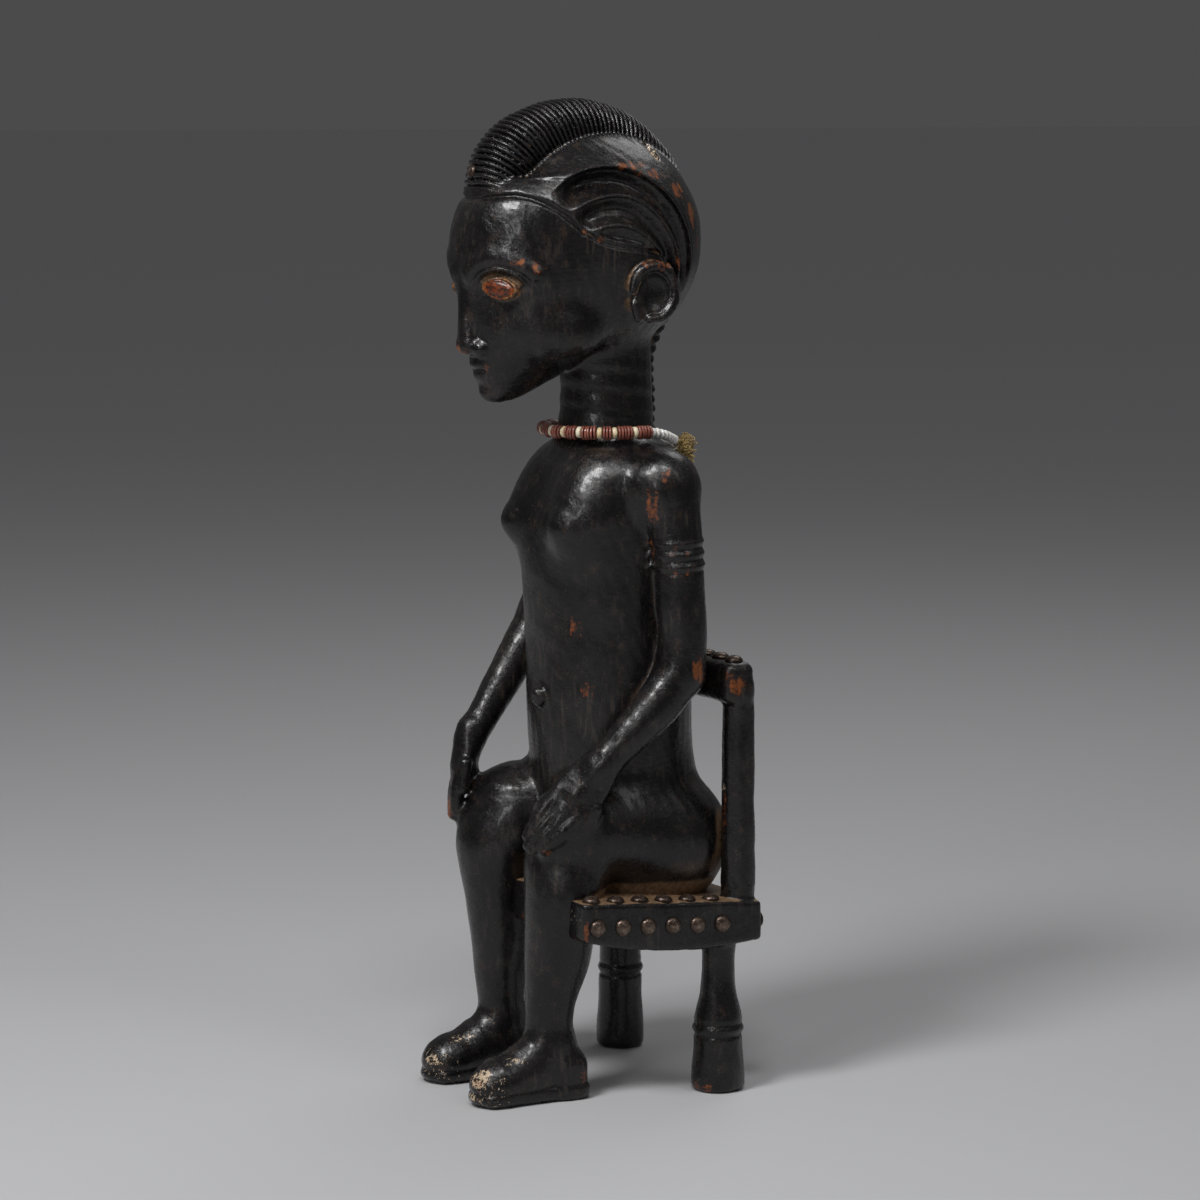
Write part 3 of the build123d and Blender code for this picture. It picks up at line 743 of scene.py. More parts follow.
# both stand flat on the floor
for wood in (figure, chair):
    wood.add(within(lambda p: p[:, 2], (-90, -90, -20), (90, 90, 12)), 0.8, "cut", reach=0)


# ------------------------------------------------------------------ materials
def shader(name):
    m = bpy.data.materials.new(name)
    m.use_nodes = True
    m.node_tree.nodes.clear()
    return m, Nodes(m.node_tree)


class Nodes:
    """Short names for building a node tree."""
    def __init__(self, tree):
        self.tree = tree
        self.coords = self.node("ShaderNodeTexCoord").outputs["Object"]

    def node(self, kind, **props):
        n = self.tree.nodes.new(kind)
        for key, value in props.items():
            setattr(n, key, value)
        return n

    def feed(self, socket, value):
        if isinstance(value, bpy.types.NodeSocket):
            self.tree.links.new(value, socket)
        elif isinstance(value, (tuple, list)):
            socket.default_value = (*value, 1.0) if len(value) == 3 and socket.type == "RGBA" else value
        else:
            socket.default_value = value

    def attr(self, name):
        return self.node("ShaderNodeAttribute", attribute_name=name).outputs["Fac"]

    def noise(self, scale, detail=4.0, rough=0.55, stretch=None):
        """Fine noise; stretch makes it longer along an axis, as wood grain is."""
        vector = self.coords
        if stretch is not None:
            mapping = self.node("ShaderNodeMapping")
            self.feed(mapping.inputs["Vector"], vector)
            mapping.inputs["Scale"].default_value = stretch
            vector = mapping.outputs["Vector"]
        n = self.node("ShaderNodeTexNoise")
        self.feed(n.inputs["Vector"], vector)
        for key, value in (("Scale", scale), ("Detail", detail), ("Roughness", rough)):
            n.inputs[key].default_value = value
        return n.outputs["Fac"]

    def cracks(self, scale):
        n = self.node("ShaderNodeTexVoronoi", feature="DISTANCE_TO_EDGE")
        self.feed(n.inputs["Vector"], self.coords)
        n.inputs["Scale"].default_value = scale
        return n.outputs["Distance"]

    def span(self, value, a, b, lo=0.0, hi=1.0):
        """lo where the value is a, hi where it is b, smooth between."""
        n = self.node("ShaderNodeMapRange", interpolation_type="SMOOTHSTEP")
        self.feed(n.inputs["Value"], value)
        for key, v in (("From Min", a), ("From Max", b), ("To Min", lo), ("To Max", hi)):
            n.inputs[key].default_value = v
        return n.outputs["Result"]

    def math(self, op, a, b):
        n = self.node("ShaderNodeMath", operation=op)
        n.use_clamp = True
        self.feed(n.inputs[0], a)
        self.feed(n.inputs[1], b)
        return n.outputs[0]

    def plus(self, a, b):
        return self.math("ADD", a, b)

    def minus(self, a, b):
        return self.math("SUBTRACT", a, b)

    def times(self, a, b):
        return self.math("MULTIPLY", a, b)

    def mix(self, t, a, b):
        n = self.node("ShaderNodeMix", data_type="RGBA")
        self.feed(n.inputs["Factor"], t)
        self.feed(n.inputs["A"], a)
        self.feed(n.inputs["B"], b)
        return n.outputs["Result"]

    def bump(self, height, distance, strength=1.0, normal=None):
        n = self.node("ShaderNodeBump")
        n.inputs["Strength"].default_value = strength
        n.inputs["Distance"].default_value = distance
        self.feed(n.inputs["Height"], height)
        if normal is not None:
            self.feed(n.inputs["Normal"], normal)
        return n.outputs["Normal"]

    def finish(self, **inputs):
        b = self.node("ShaderNodeBsdfPrincipled")
        for key, value in inputs.items():
            self.feed(b.inputs[key.replace("_", " ")], value)
        out = self.node("ShaderNodeOutputMaterial")
        self.tree.links.new(b.outputs[0], out.inputs[0])


# colours, linear
BLACKS = (0.0036, 0.0031, 0.0038), (0.0100, 0.0084, 0.0086)
BROWNS = (0.020, 0.0125, 0.009), (0.046, 0.026, 0.016)
STREAK, SPECK = (0.046, 0.037, 0.030), (0.115, 0.088, 0.066)
STAINS = (0.070, 0.020, 0.009), (0.110, 0.032, 0.010)
BARE_WOODS = (0.23, 0.066, 0.013), (0.10, 0.029, 0.009)
DUSTS = (0.120, 0.070, 0.036), (0.26, 0.160, 0.090)
OLD_PAINT = (0.56, 0.43, 0.30)
EYE_REDS = (0.20, 0.043, 0.007), (0.070, 0.014, 0.007)
EYE_RIM, EYE_SPOT = (0.26, 0.115, 0.034), (0.02, 0.012, 0.010)


def wood_material(name, figure_wood):
    """Blackened wood: rubbed brown, worn to bare wood, dusty in its hollows, flecked with paint."""
    m, n = shader(name)
    broad, mid = n.noise(28, 5, 0.6), n.noise(120, 6, 0.65)
    small, grit = n.noise(520, 4, 0.6), n.noise(1500, 3, 0.7)
    grain = n.noise(260, 5, 0.5, (1.0, 1.0, 0.09))
    black = n.mix(n.span(broad, 0.35, 0.7), *BLACKS)
    rubbed = n.times(n.span(mid, 0.50, 0.66), n.span(grain, 0.42, 0.62, 0.0, 0.55))
    plain = n.minus(1.0, n.attr("comb"))
    base = n.mix(n.times(rubbed, plain), black, n.mix(small, *BROWNS))
    # old handling leaves greyish streaks and pinhead specks
    streak = n.span(n.noise(420, 5, 0.5, (1.0, 1.0, 0.16)), 0.52, 0.66)
    streak = n.times(streak, n.span(broad, 0.44, 0.62, 0.0, 0.62))
    base = n.mix(n.times(streak, plain), base, STREAK)
    specks = n.times(n.span(grit, 0.60, 0.68), n.span(mid, 0.48, 0.60, 0.0, 0.85))
    base = n.mix(specks, base, SPECK)
    # orange-brown bare wood where the finish has gone, with a torn outline
    wear = n.plus(n.times(n.attr("wear"), 1.0), n.times(n.attr("edge"), 0.20))
    torn = n.plus(n.span(mid, 0.36, 0.64, 0.0, 0.36), n.span(small, 0.36, 0.64, 0.0, 0.36))
    torn = n.plus(torn, n.span(grain, 0.36, 0.64, 0.08, 0.58))
    left = n.minus(n.plus(wear, 0.20), torn)
    bare = n.span(left, 0.06, 0.30)
    bare_wood = n.mix(n.span(grain, 0.35, 0.65), *BARE_WOODS)
    base = n.mix(bare, base, n.mix(n.span(left, 0.24, 0.52), n.mix(small, *STAINS), bare_wood))
    # brown dust in the hollows and on level places
    dust = n.plus(n.times(n.attr("cavity"), 0.42), n.attr("dust"))
    uneven = n.times(n.plus(n.times(mid, 0.5), n.times(grit, 0.45)), 0.72)
    dusty = n.span(n.minus(dust, uneven), 0.0, 0.42, 0.0, 0.86)
    base = n.mix(dusty, base, n.mix(n.span(small, 0.3, 0.7), *DUSTS))
    # pale chips of old paint
    flaky = n.plus(n.span(small, 0.36, 0.64, 0.0, 0.55), n.span(grit, 0.36, 0.64, 0.1, 0.55))
    pale = n.span(n.minus(n.attr("pale"), flaky), 0.0, 0.08)
    base = n.mix(pale, base, OLD_PAINT)
    if figure_wood:
        eye = n.attr("eye")
        base = n.mix(n.span(eye, 0.35, 0.6), base, n.mix(n.span(small, 0.38, 0.62), *EYE_REDS))
        base = n.mix(n.times(n.attr("rim"), n.span(small, 0.42, 0.60)), base, EYE_RIM)
        spots = n.span(n.noise(620, 3), 0.50, 0.60)
        base = n.mix(n.times(n.span(eye, 0.55, 0.8), spots), base, EYE_SPOT)
    rough = n.plus(n.span(small, 0.30, 0.70, 0.15, 0.33), n.times(dusty, 0.42))
    rough = n.plus(rough, n.times(bare, 0.16))
    height = n.plus(n.times(grit, 0.40), n.times(small, 0.50))
    height = n.plus(height, n.times(n.span(n.cracks(620), 0.0, 0.10), 0.10))
    normal = n.bump(height, 0.00042, 0.62)
    normal = n.bump(mid, 0.0010, 0.30, normal)
    normal = n.bump(grain, 0.0005, 0.22, normal)
    n.finish(Base_Color=base, Roughness=rough, Normal=normal, Specular_IOR_Level=0.35,
             Coat_Weight=0.22, Coat_Roughness=0.13)
    return m


def metal_material(name):
    """Old tack metal: nearly black, rubbed bright on the crown with a painted highlight there, dark in
    the groove below with dirt and painted shade.
    """
    m, n = shader(name)
    small, crown = n.noise(700, 4), n.attr("crown")
    base = n.mix(n.attr("tint"), (0.052, 0.034, 0.026), (0.100, 0.070, 0.054))
    # painted highlight: the dome's crown is made paler, partly rubbed metal and partly a painted
    # highlight
    rub_and_highlight = n.span(n.plus(n.times(crown, 0.50), n.times(small, 0.6)), 0.62, 0.98)
    base = n.mix(rub_and_highlight, base, (0.33, 0.245, 0.195))
    # painted shade: a dark ring in the groove at the foot of the dome, with some dirt
    base = n.mix(n.span(crown, 0.06, 0.34, 0.85, 0.0), base, (0.014, 0.010, 0.009))
    base = n.mix(n.span(n.noise(1400, 3), 0.56, 0.66), base, (0.035, 0.022, 0.018))
    n.finish(Base_Color=base, Metallic=0.72, Roughness=n.span(small, 0.3, 0.7, 0.20, 0.38),
             Normal=n.bump(n.noise(900, 4), 0.0003, 0.5))
    return m


def bead_material(name, first, second, dirt, rough, gloss):
    m, n = shader(name)
    base = n.mix(n.attr("tint"), first, second)
    base = n.mix(n.span(n.noise(900, 4), 0.52, 0.72, 0.0, 0.55), base, dirt)
    base = n.mix(n.times(n.attr("seam"), n.span(n.noise(1500, 2), 0.2, 0.7)), base, dirt)
    uneven = n.span(n.noise(600, 3), 0.3, 0.7, rough - 0.08, rough + 0.12)
    n.finish(Base_Color=base, Roughness=uneven, Coat_Weight=gloss, Coat_Roughness=0.15,
             Normal=n.bump(n.noise(1600, 3), 0.0002, 0.35))
    return m


def fibre_material(name):
    m, n = shader(name)
    base = n.mix(n.attr("tint"), (0.16, 0.095, 0.022), (0.60, 0.43, 0.15))
    base = n.mix(n.span(n.noise(1100, 3), 0.5, 0.7, 0.0, 0.7), base, (0.13, 0.085, 0.03))
    n.finish(Base_Color=base, Roughness=n.span(n.noise(800), 0.2, 0.8, 0.6, 0.9), Sheen_Weight=0.25,
             Normal=n.bump(n.noise(2500, 3), 0.0002, 0.5))
    return m


figure_mat = wood_material("carved_wood_figure", True)
chair_mat = wood_material("carved_wood_chair", False)
tack_mat = metal_material("old_tack_metal")
red_mat = bead_material("red_brown_discs", (0.200, 0.052, 0.032), (0.275, 0.082, 0.052),
                        (0.075, 0.026, 0.020), 0.34, 0.25)
cream_mat = bead_material("cream_beads", (0.66, 0.52, 0.30), (0.80, 0.72, 0.55),
                          (0.33, 0.20, 0.09), 0.32, 0.3)
white_mat = bead_material("white_beads", (0.78, 0.77, 0.74), (0.88, 0.88, 0.86),
                          (0.30, 0.23, 0.16), 0.28, 0.4)
fibre_mat = fibre_material("plant_fibre")

# ------------------------------------------------------------------ carve the wood
def steps(bands):
    """Heights with a spacing per band: (top, spacing), upwards from the first height."""
    out = [bands[0][0]]
    for top, spacing in bands[1:]:
        count = max(2, round((top - out[-1]) / (spacing * COARSE)))
        out += list(np.linspace(out[-1], top, count + 1)[1:])
    return np.array(out)


def figure_warp(z):
    """The lattice's half width, middle and half depth: wider and deeper below the neck."""
    t = step(338, 347, z)
    return 74 + (56.5 - 74) * t, -2.8 + (-2.0 + 2.8) * t, 79.5 + (74 - 79.5) * t


ROUNDS = 2
across = np.linspace(-1, 1, int(104 / COARSE))
deep = np.linspace(-1, 1, int(230 / COARSE))
heights = steps([(-1.5, 0), (34, 1.0), (126, 1.25), (184, 0.9), (262, 1.3), (300, 1.0), (338, 1.2),
                 (519, 0.64)])
points, quads = lattice_mesh(figure, across, deep, heights, figure_warp)
points = settle(figure, points, ROUNDS)
figure_obj = make_object("seated_figure", points, quads, figure_mat)


def both(p):
    return np.minimum(figure(p), chair(p))


def patches(p, spots):
    """The strongest of some soft-edged spots: centre (3), radii (3), strength."""
    total = np.zeros(len(p), F)
    for spot in spots:
        q = (p - vec(spot[:3])) / vec(spot[3:6])
        total = np.maximum(total, spot[6] * (1 - step(0.0, 1.3, norms(q))))
    return total


def hollows_and_edges(field, p):
    """Normals, how hollow the surface is, and how much of an edge it is."""
    normal = normals_of(field, p)
    hollow = [np.clip(1 - both(p + normal * reach) / reach, 0, 1) * 0.5 for reach in (5, 2)]
    edge = np.clip(1 + field(p - normal * 3) / 3, 0, 1)
    return normal, hollow[0] + hollow[1], edge


def masks(obj, **values):
    for name, v in values.items():
        attribute(obj, name, v)


FIGURE_WORN = [
    # trunk and arms
    (28, -16, 244, 5, 6, 8, 0.80), (33, -12, 213, 5, 6, 9, 0.78), (69, 33, 224, 7, 9, 10, 0.78),
    (63, 32, 206, 8, 8, 8, 0.70), (58, 14, 310, 6, 7, 16, 0.74), (63, 20, 322, 5, 6, 7, 0.74),
    (68, 26, 275, 7, 10, 3, 0.72), (68, 22, 286, 6, 10, 4, 0.55), (52, 15, 285, 6, 6, 8, 0.70),
    # hands
    (52, -29, 172, 7, 7, 8, 0.82), (50, -34, 165, 5, 6, 6, 0.74), (43, -40, 133, 5, 5, 4, 0.85),
    (-47, -53, 141, 9, 10, 10, 1.30), (-48, -47, 158, 7, 7, 12, 0.85),
    # face
    (0, -68, 387, 10, 6, 5, 1.1), (40, -42, 430, 7, 7, 4.2, 0.98), (34, -50, 433, 8, 6, 3.2, 0.95),
    (8, -56, 379, 5, 4, 4, 0.75),
    # hair and ears
    (38, 10, 481, 9, 12, 3.0, 0.9), (39, 24, 476.5, 10, 12, 4.0, 1.15), (38, 37, 468, 10, 9, 6, 1.2),
    (37, 46, 456, 10, 5, 10, 1.2), (33, 51, 441, 8, 4, 12, 1.1), (-38, 20, 474, 8, 22, 8, 0.85),
    (50, 21, 431, 7, 11, 4.0, 1.15), (49.5, 31, 423, 7, 5, 10, 1.15), (-50, 28, 426, 6, 8, 8, 0.9),
    (44, -9, 444.5, 5, 6, 3, 0.8), (46, 36, 433, 6, 5, 12, 0.8), (42, -20, 448, 4, 5, 3, 0.72),
    # leg and shoe
    (36, -14, 60, 10, 6, 30, 0.74), (29, -74, 14, 14, 5, 8, 0.62), (43, -18, 12, 4, 8, 8, 0.62),
]
# dust lies thick round the seat, on the lap and the shoulders, and thin on the side of the face
THICK_DUST = [
    (42, 63, 122, 24, 16, 32, 1.15), (-42, 63, 122, 24, 16, 32, 1.15), (44, 46, 106, 24, 26, 12, 1.1),
    (-44, 46, 106, 24, 26, 12, 1.1), (36, 24, 164, 26, 34, 12, 0.46), (48, 6, 165, 14, 20, 12, 0.60),
    (-28, 4, 166, 22, 26, 7, 0.62), (10, -22, 166, 20, 10, 10, 0.62), (38, 8, 336, 20, 30, 6, 0.42),
    (25, -24, 300, 24, 10, 26, 0.30), (36, -10, 98, 10, 10, 26, 0.45), (36, -12, 62, 10, 8, 34, 0.42),
]
THIN_DUST = [
    (44, 0, 400, 8, 26, 24, 0.50), (38, -20, 395, 10, 20, 18, 0.44), (43, 4, 425, 8, 12, 12, 0.42),
    (30, 0, 334, 24, 24, 8, 0.42), (-20, 0, 334, 24, 24, 8, 0.35), (42, 40, 120, 26, 36, 14, 0.62),
    (48, -4, 225, 10, 20, 30, 0.40), (46, 2, 262, 8, 20, 24, 0.30),
]
PAINT_CHIPS = [
    (33, -72, 15, 8, 7, 6, 0.78), (-24, -73, 13, 8, 7, 6, 0.74), (30, -76, 5, 13, 6, 3, 0.72),
    (36, -52, 23, 5, 14, 4, 0.60), (-22, -54, 23, 5, 14, 4, 0.60), (29, -40, 32, 13, 5, 4, 0.55),
    (-27, -41, 30, 12, 5, 4, 0.60), (23, 31, 487, 12, 4, 11, 0.92),
]

_, cavity, edge = hollows_and_edges(figure, points)
x, y, z = points.T
on_comb = comb_form(points) < COMB_SKIN
dust = 0.95 * (1 - step(0, 9, z - 107)) * step(-24, -10, y) * step(100, 104, z)
dust = np.maximum(dust, 0.62 * patches(points, THICK_DUST))
dust = np.maximum(dust, 0.50 * step(0.45, 0.85, cavity) * step(HAIR_BOTTOM, HAIR_BOTTOM + 8, z))
dust = np.where(on_comb, 0.0, dust)
beside_plait = ridge(np.abs(x) - 5.6, 1.0) * step(34, 38, y) * step(338, 346, z) * step(402, 392, z)
dust = np.maximum(np.maximum(dust, 0.9 * beside_plait), patches(points, THIN_DUST))
eye, rim = np.zeros(len(points), F), np.zeros(len(points), F)
for c, ax in EYES.values():
    a, b, w = ((points - c) @ ax.T).T
    r = almond(a, b)
    close = step(9, 5, np.abs(w))
    eye = np.maximum(eye, step(0.98, 0.86, r) * close)
    rim = np.maximum(rim, ridge(r - 0.97, 0.13) * close)
# a ring of paint on the left toe, and a little over both toes
toe_ring = ridge(np.sqrt((x - 33) ** 2 + (z - 15) ** 2) - 4.2, 1.2) * step(-66, -70, y)
pale = np.maximum(0.26 * step(26, 14, z) * step(-52, -68, y), 0.80 * toe_ring)
masks(figure_obj, wear=patches(points, FIGURE_WORN), dust=dust, eye=eye, rim=rim,
      pale=np.maximum(pale, patches(points, PAINT_CHIPS)), comb=np.where(on_comb, 0.85, 0.0),
      cavity=np.where(on_comb, cavity * 0.10, cavity), edge=np.where(on_comb, edge * 0.25, edge))

CHAIR_WORN = [
    (63, 60, 214, 8, 10, 9, 0.80), (62, 55, 219, 6, 8, 6, 0.70), (55, 58, 150, 7, 6, 26, 0.5),
    (66, -29, 92, 5, 6, 10, 0.42), (-60, 58, 216, 10, 10, 10, 0.75), (0, 72, 222, 50, 6, 6, 0.6),
    (54, 42, 3, 14, 8, 5, 0.8), (20, -30, 88, 50, 4, 4, 0.7),
]
CHAIR_CHIPS = [(55, 56, 160, 4, 5, 3, 0.85), (40, -31, 100, 30, 3, 6, 0.45)]

heights = steps([(-1.5, 0), (74, 1.2), (112, 1.0), (228, 1.15)])
across = np.linspace(-70.5, 70.5, int(128 / COARSE))
deep = np.linspace(-33, 77, int(100 / COARSE))
points, quads = lattice_mesh(chair, across, deep, heights)
points = settle(chair, points, ROUNDS)
chair_obj = make_object("chair_frame", points, quads, chair_mat)
normal, cavity, edge = hollows_and_edges(chair, points)
z = points[:, 2]
level = step(0.6, 0.9, normal[:, 2])
dust = np.maximum(level * step(96, 99, z) * step(112, 108, z) * 0.95, level * step(222, 224, z) * 0.35)
masks(chair_obj, wear=patches(points, CHAIR_WORN), dust=dust, pale=patches(points, CHAIR_CHIPS),
      cavity=cavity, edge=edge)

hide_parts("figure")
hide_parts("chair")
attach(figure_obj, "carving")
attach(chair_obj, "carving")


# ------------------------------------------------------------------ turned pieces: tacks and beads
def turned(profile, count):
    """A ring of points round Z for each (radius, height)."""
    a = np.arange(count) * 2 * np.pi / count
    return [(r * math.cos(t), r * math.sin(t), h) for r, h in profile for t in a]


def lathe(profile, count):
    """Points and faces of a closed profile (radius, height) turned round Z; both ends on the axis."""
    verts = [(0.0, 0.0, profile[0][1]), *turned(profile[1:-1], count), (0.0, 0.0, profile[-1][1])]
    rows = len(profile) - 2
    last = 1 + (rows - 1) * count
    tris, faces = [], []
    for i in range(count):
        j = (i + 1) % count
        tris.append((0, 1 + j, 1 + i))
        for k in range(1, 1 + (rows - 1) * count, count):
            faces.append((k + i, k + j, k + count + j, k + count + i))
        tris.append((last + i, last + j, len(verts) - 1))
    return np.array(verts), faces + tris


def tube_ring(profile, count):
    """A bored bead: a closed ring of (radius, height) points turned round Z."""
    total = len(profile) * count
    faces = []
    for k in range(0, total, count):
        above = (k + count) % total
        for i in range(count):
            j = (i + 1) % count
            faces.append((k + i, k + j, above + j, above + i))
    return np.array(turned(profile, count)), faces


class Gather:
    """Collects many small solids into one mesh."""
    def __init__(self):
        self.verts, self.faces, self.values, self.count = [], [], {}, 0

    def add(self, verts, faces, **values):
        self.verts.append(verts)
        self.faces += [tuple(i + self.count for i in f) for f in faces]
        for key, v in values.items():
            self.values.setdefault(key, []).append(np.broadcast_to(v, len(verts)))
        self.count += len(verts)

    def build(self, name, material):
        mesh = bpy.data.meshes.new(name)
        mesh.from_pydata((np.concatenate(self.verts) * MM).tolist(), [], self.faces)
        mesh.polygons.foreach_set("use_smooth", [True] * len(mesh.polygons))
        mesh.materials.append(material)
        obj = link_object(name, mesh)
        for key, v in self.values.items():
            attribute(obj, key, np.concatenate(v))
        return obj


def unit(v):
    return v / np.linalg.norm(v)


def axes_on(out):
    """Rows: two sideways, and out."""
    out = unit(np.array(out, float))
    side = unit(np.cross((0.31, 0.17, 0.93) if abs(out[2]) < 0.9 else (1.0, 0.2, 0.0), out))
    return np.array([side, np.cross(out, side), out])


def wobble(verts, *lobes):
    """Makes a turned piece a little out of round: (how many lobes, how high)."""
    a = np.arctan2(verts[:, 1], verts[:, 0])
    swell = 1 + sum(high * np.sin(count * a + rng.uniform(0, 6)) for count, high in lobes)
    verts[:, :2] *= swell[:, None]


TACK_RADIUS, TACK_HEIGHT, TACK_SHANK = 4.7, 3.1, 7.0


def tack_into(group, origin, out, scale=1.0):
    """A domed tack, a little dented and not quite straight."""
    lean = rng.normal(0, 0.035, 3)
    ax = axes_on(np.array(out, float) + lean)
    r = TACK_RADIUS * scale * rng.uniform(0.97, 1.02)
    h = TACK_HEIGHT * scale * rng.uniform(0.94, 1.04)
    profile = [(0, -TACK_SHANK), (0.12, -6.9), (0.6, -5.6), (0.7, -0.4)]
    profile += [(r * 0.86, -0.35), (r * 0.97, -0.30), (r * 1.0, -0.05)]
    profile += [(r * math.cos(t), 0.12 + (h - 0.12) * math.sin(t)) for t in np.linspace(0.12, 1.45, 9)]
    verts, faces = lathe(profile + [(0, h)], 40)
    dent = rng.uniform(-1, 1, 2) * r * 0.6
    d = norms(verts[:, :2] - dent)
    verts[:, 2] -= np.where(verts[:, 2] > 0.2, 0.28 * ridge(d, 1.5), 0)
    wobble(verts, (3, 0.012))
    # crown: height up the dome, used by the tack metal for its painted highlight on top and painted
    # shade at the foot
    crown = np.clip(verts[:, 2] / h, 0, 1)
    group.add(np.array(origin, float) + verts @ ax, faces, tint=rng.uniform(0, 1), crown=crown)


# rows of tacks, as (place, direction): the seat's top slopes down 8 in 105
slope = math.atan2(8.0, 105.0)
upwards = (0, math.sin(slope), math.cos(slope))
rows = {}
for side_name, s in (("left", 1), ("right", -1)):
    rows[f"seat_{side_name}_side_tacks"] = [
        ((s * 66, -22.5 + 14.6 * i, 95.2 - 0.94 * i), (s, 0, 0)) for i in range(6)]
    rows[f"seat_{side_name}_top_tacks"] = [
        ((s * 60.5, -23.5 + 14 * i, 108.5 - (7 + 14 * i) * math.tan(slope)), upwards) for i in range(6)]
rows["seat_back_tacks"] = [((20.0 * i, 74.5, 89.5), (0, 1, 0)) for i in range(-3, 4)]
rows["rail_tacks"] = [((s * v, 62.5, 225.9), (0, 0, 1)) for s in (1, -1) for v in (28, 42, 56)]
for name, places in rows.items():
    group = Gather()
    for origin, out in places:
        tack_into(group, origin, out)
    obj = group.build(name + "_heads", tack_mat)
    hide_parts(name)
    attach(obj, "carving")
# one smaller tack at the front foot of the comb
group = Gather()
tack_into(group, (0, -59.6, 478.0), (0, -0.97, 0.24), 0.78)
obj = group.build("hair_tack_head", tack_mat)
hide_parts("hair_tack")
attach(obj, "carving")

# the string of beads: level round the front and sides, lower behind the neck, where the knot is
KNOT_AZIMUTH, KNOT_GAP = 62, 6  # degrees
angles = np.radians(KNOT_AZIMUTH + KNOT_GAP / 2 + (360 - KNOT_GAP) * np.linspace(0, 1, 1500))
path = np.stack([33 * np.cos(angles), 19.5 + 35 * np.sin(angles),
                 344.5 - 10 * np.maximum(np.sin(angles), 0) ** 2], 1)
run = np.concatenate([[0], np.cumsum(norms(np.diff(path, axis=0)))])


def on_path(s):
    return np.array([np.interp(s, run, path[:, i]) for i in range(3)])


# each kind of bead: radius, length, and how far its shoulder is rounded
KINDS = {"red": (3.5, 1.25, 0.35), "cream": (3.0, 2.9, 1.15), "white": (2.6, 2.9, 1.42)}
BORE, GAP = 0.8, 0.24
LOWER_TURN = np.linspace(-np.pi / 2, 0, 5)[1:]
UPPER_TURN = np.linspace(0, np.pi / 2, 5)[:-1]
strung = ["white"] * 8
for size in (5, 5, 3, 5, 4, 4, 5, 4, 4, 5, 4, 4, 5, 3, 5, 5):
    strung += ["red"] * size + ["cream"]
strung = strung[:-1] + ["white"] * 8
at = (run[-1] - sum(KINDS[k][1] + GAP for k in strung)) / 2
groups = {k: Gather() for k in KINDS}
for kind in strung:
    r, length, shoulder = KINDS[kind]
    s = at + length / 2
    at += length + GAP
    lean = rng.normal(0, 0.02, 3)
    origin = on_path(s) + rng.normal(0, 0.10, 3)
    ax = axes_on(unit(on_path(s + 0.5) - on_path(s - 0.5)) + lean)
    half = length / 2
    sh = min(shoulder, half * 0.98)
    core, flat = r * rng.uniform(0.965, 1.03) - sh, half - sh
    profile = [(BORE, -half), (core, -half)]
    for middle, turn in ((-flat, LOWER_TURN), (flat, UPPER_TURN)):
        profile += [(core + sh * math.cos(q), middle + sh * math.sin(q)) for q in turn]
    verts, faces = tube_ring(profile + [(core, half), (BORE, half)], 36)
    wobble(verts, (2, 0.012), (5, 0.008))
    seam = np.clip((np.abs(verts[:, 2]) - half * 0.55) / (half * 0.45), 0, 1)
    groups[kind].add(origin + verts @ ax, faces, tint=rng.uniform(0, 1), seam=seam)
for kind, name, node, mat, slot_name in (
        ("red", "red_disc_beads", "red_discs", red_mat, "red_disc"),
        ("cream", "cream_spacer_beads", "cream_beads", cream_mat, "cream_bead"),
        ("white", "white_seed_beads", "white_beads", white_mat, "white_bead")):
    obj = groups[kind].build(name, mat)
    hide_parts(node)
    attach(obj, "bead_string")


def tangents(line):
    t = np.gradient(line, axis=0)
    return t / np.linalg.norm(t, axis=1)[:, None]


def fibre(group, line, radius, tint, sides=6):
    """A tube along a line of points, closed at both ends."""
    line = np.asarray(line, float)
    t = tangents(line)
    side = np.cross(t, (0.3, 0.2, 0.93))
    side /= np.linalg.norm(side, axis=1)[:, None]
    up = np.cross(t, side)
    radius = np.broadcast_to(radius, len(line))[:, None, None]
    a = np.arange(sides)[None, :, None] * 2 * np.pi / sides
    ring = np.cos(a) * side[:, None] + np.sin(a) * up[:, None]
    verts = (line[:, None] + radius * ring).reshape(-1, 3)
    end = (len(line) - 1) * sides
    faces = [(k + i, k + (i + 1) % sides, k + sides + (i + 1) % sides, k + sides + i)
             for k in range(0, end, sides) for i in range(sides)]
    faces.append(tuple(range(sides))[::-1])
    faces.append(tuple(end + i for i in range(sides)))
    group.add(verts, faces, tint=tint)


# the thread: two strands laid round each other
group = Gather()
s = np.linspace(0, run[-1], 900)
core = on_path(s).T
side = np.cross(tangents(core), (0, 0, 1.0))
up = np.cross(side, tangents(core))
for strand in (0.0, np.pi):
    twist = (s * 2.1 + strand)[:, None]
    fibre(group, core + 0.24 * (np.cos(twist) * side + np.sin(twist) * up), 0.27, 0.4)
obj = group.build("bead_thread", fibre_mat)
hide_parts("thread")
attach(obj, "bead_string")

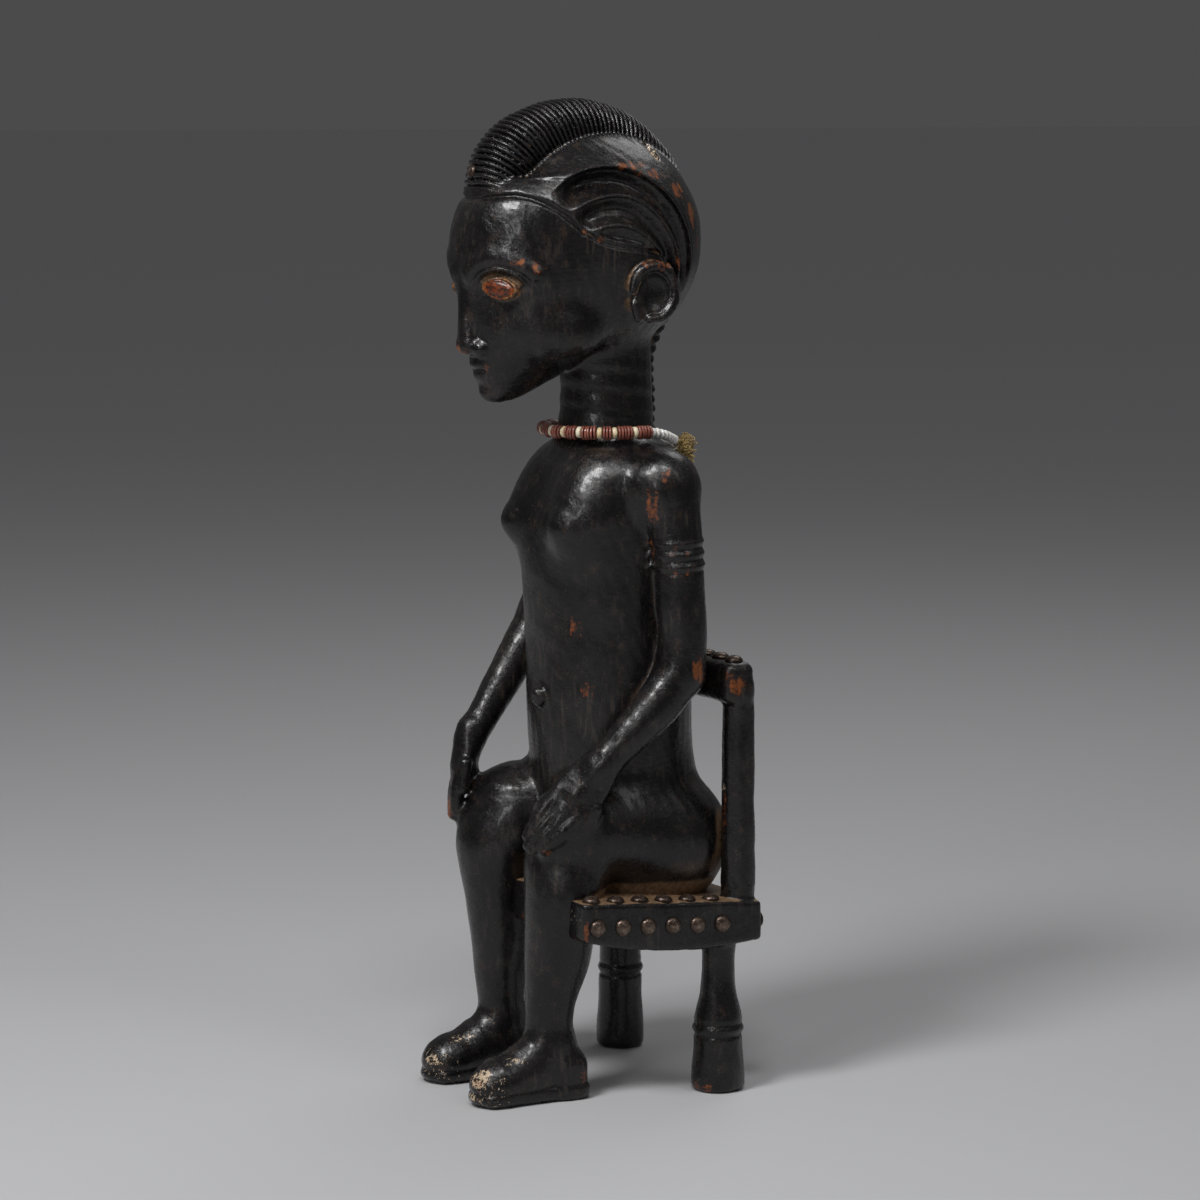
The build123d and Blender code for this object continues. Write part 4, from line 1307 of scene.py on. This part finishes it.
# the knot: a dense wad of curled fibre, frayed at its lower end
KNOT_RADIUS, KNOT_HALF = 3.9, 7.0
KNOT = (path[0] + path[-1]) / 2 + np.array((2.0, 4.5, -2.0))
group = Gather()
wad = [(KNOT_RADIUS * math.cos(t), KNOT_HALF * math.sin(t)) for t in np.linspace(-1.4, 1.4, 12)]
verts, faces = lathe([(0, -KNOT_HALF - 0.2), *wad, (0, KNOT_HALF + 0.2)], 24)
verts = verts * (1 + 0.08 * np.sin(verts[:, [2, 0, 1]] * 1.9))
group.add(KNOT + verts, faces, tint=0.15)
for _ in range(240):
    d = unit(rng.normal(size=3))
    line = [KNOT + d * np.array((KNOT_RADIUS, 4.1, KNOT_HALF)) * rng.uniform(0.82, 1.03)]
    heading = unit(np.cross(d, rng.normal(size=3)))
    for _ in range(9):
        heading = unit(heading + rng.normal(0, 0.55, 3) - 0.05 * (line[-1] - KNOT))
        line.append(line[-1] + heading * 0.55)
    fibre(group, line, np.linspace(0.46, 0.24, 10) * rng.uniform(0.7, 1.1), rng.uniform(0, 1))
for _ in range(46):
    line = [KNOT + np.array((rng.normal(0, 1.6), rng.normal(0.6, 1.6), -5.5))]
    heading = np.array((rng.normal(0.15, 0.35), rng.normal(0.35, 0.35), -1.0))
    for _ in range(8):
        heading = unit(heading + rng.normal(0, 0.30, 3))
        line.append(line[-1] + heading * rng.uniform(0.5, 0.8))
    fibre(group, line, np.linspace(0.26, 0.12, 9), rng.uniform(0.2, 1), 5)
obj = group.build("fibre_knot", fibre_mat)
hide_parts("knot")
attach(obj, "bead_string")


# ------------------------------------------------------------------ floor, light and camera
FLOOR_HALF = 60.0
mesh = bpy.data.meshes.new("floor")
mesh.from_pydata([(i * FLOOR_HALF, j * FLOOR_HALF, 0) for i, j in ((-1, -1), (1, -1), (1, 1), (-1, 1))],
                 [],
                 [(0, 1, 2, 3)])
floor_mat, n = shader("floor")
n.finish(Base_Color=(0.50, 0.50, 0.51), Roughness=0.85, Specular_IOR_Level=0.0)
mesh.materials.append(floor_mat)
link_object("floor", mesh)

# the room is brighter overhead than at the horizon, where it meets the far floor
world = bpy.data.worlds.new("studio")
bpy.context.scene.world = world
world.use_nodes = True
sky = Nodes(world.node_tree)
background = world.node_tree.nodes["Background"]
background.inputs["Color"].default_value = (1.0, 1.0, 1.012, 1)
level = sky.node("ShaderNodeSeparateXYZ")
sky.feed(level.inputs[0], sky.node("ShaderNodeTexCoord").outputs["Generated"])
sky.feed(background.inputs["Strength"], sky.span(level.outputs["Z"], 0.0, 0.6, 0.070, 0.140))


def direction(az, el):
    """Towards a camera or lamp: degrees round from the front, and up."""
    a, e = math.radians(az), math.radians(el)
    return np.array([math.sin(a) * math.cos(e), -math.cos(a) * math.cos(e), math.sin(e)])


LAMP_AIM = np.array((0, 0, 0.27))
# each lamp: degrees round and up, distance, size, power
for name, az, el, distance, size, power in (
        ("key", 20, 50, 1.5, (0.42, 0.42), 15), ("front", 34, 17, 1.7, (0.22, 0.50), 2.6),
        ("fill", 112, 44, 1.7, (0.5, 0.8), 2.2), ("rear", 215, 50, 1.9, (1.0, 1.0), 5),
        ("crest", 66, 62, 1.5, (0.30, 0.30), 5)):
    data = bpy.data.lights.new(name, "AREA")
    data.shape = "ELLIPSE"
    data.size, data.size_y = size
    data.energy = power
    lamp = link_object(name, data)
    back = direction(az, el)
    lamp.location = LAMP_AIM + back * distance
    lamp.rotation_euler = Vector(-back).to_track_quat("-Z", "Y").to_euler()

CAMERA_AZIMUTH, CAMERA_ELEVATION, CAMERA_DISTANCE = 62.0, 7.3, 2.0
CAMERA_AIM = np.array((0.039, -0.007, 0.260))
SENSOR = 36.0
camera = bpy.data.cameras.new("camera")
cam = link_object("camera", camera)
back = direction(CAMERA_AZIMUTH, CAMERA_ELEVATION)
a = math.radians(CAMERA_AZIMUTH)
right = np.array([math.cos(a), math.sin(a), 0.0])
up = np.cross(back, right)
where = CAMERA_AIM + back * CAMERA_DISTANCE
cam.matrix_world = Matrix([[right[i], up[i], back[i], where[i]] for i in range(3)] + [[0, 0, 0, 1]])
camera.sensor_width = SENSOR
camera.lens = SENSOR * 1.953 * 2000 / 1200
camera.clip_end = 100
bpy.context.scene.camera = cam
bpy.context.scene.view_settings.view_transform = "Standard"
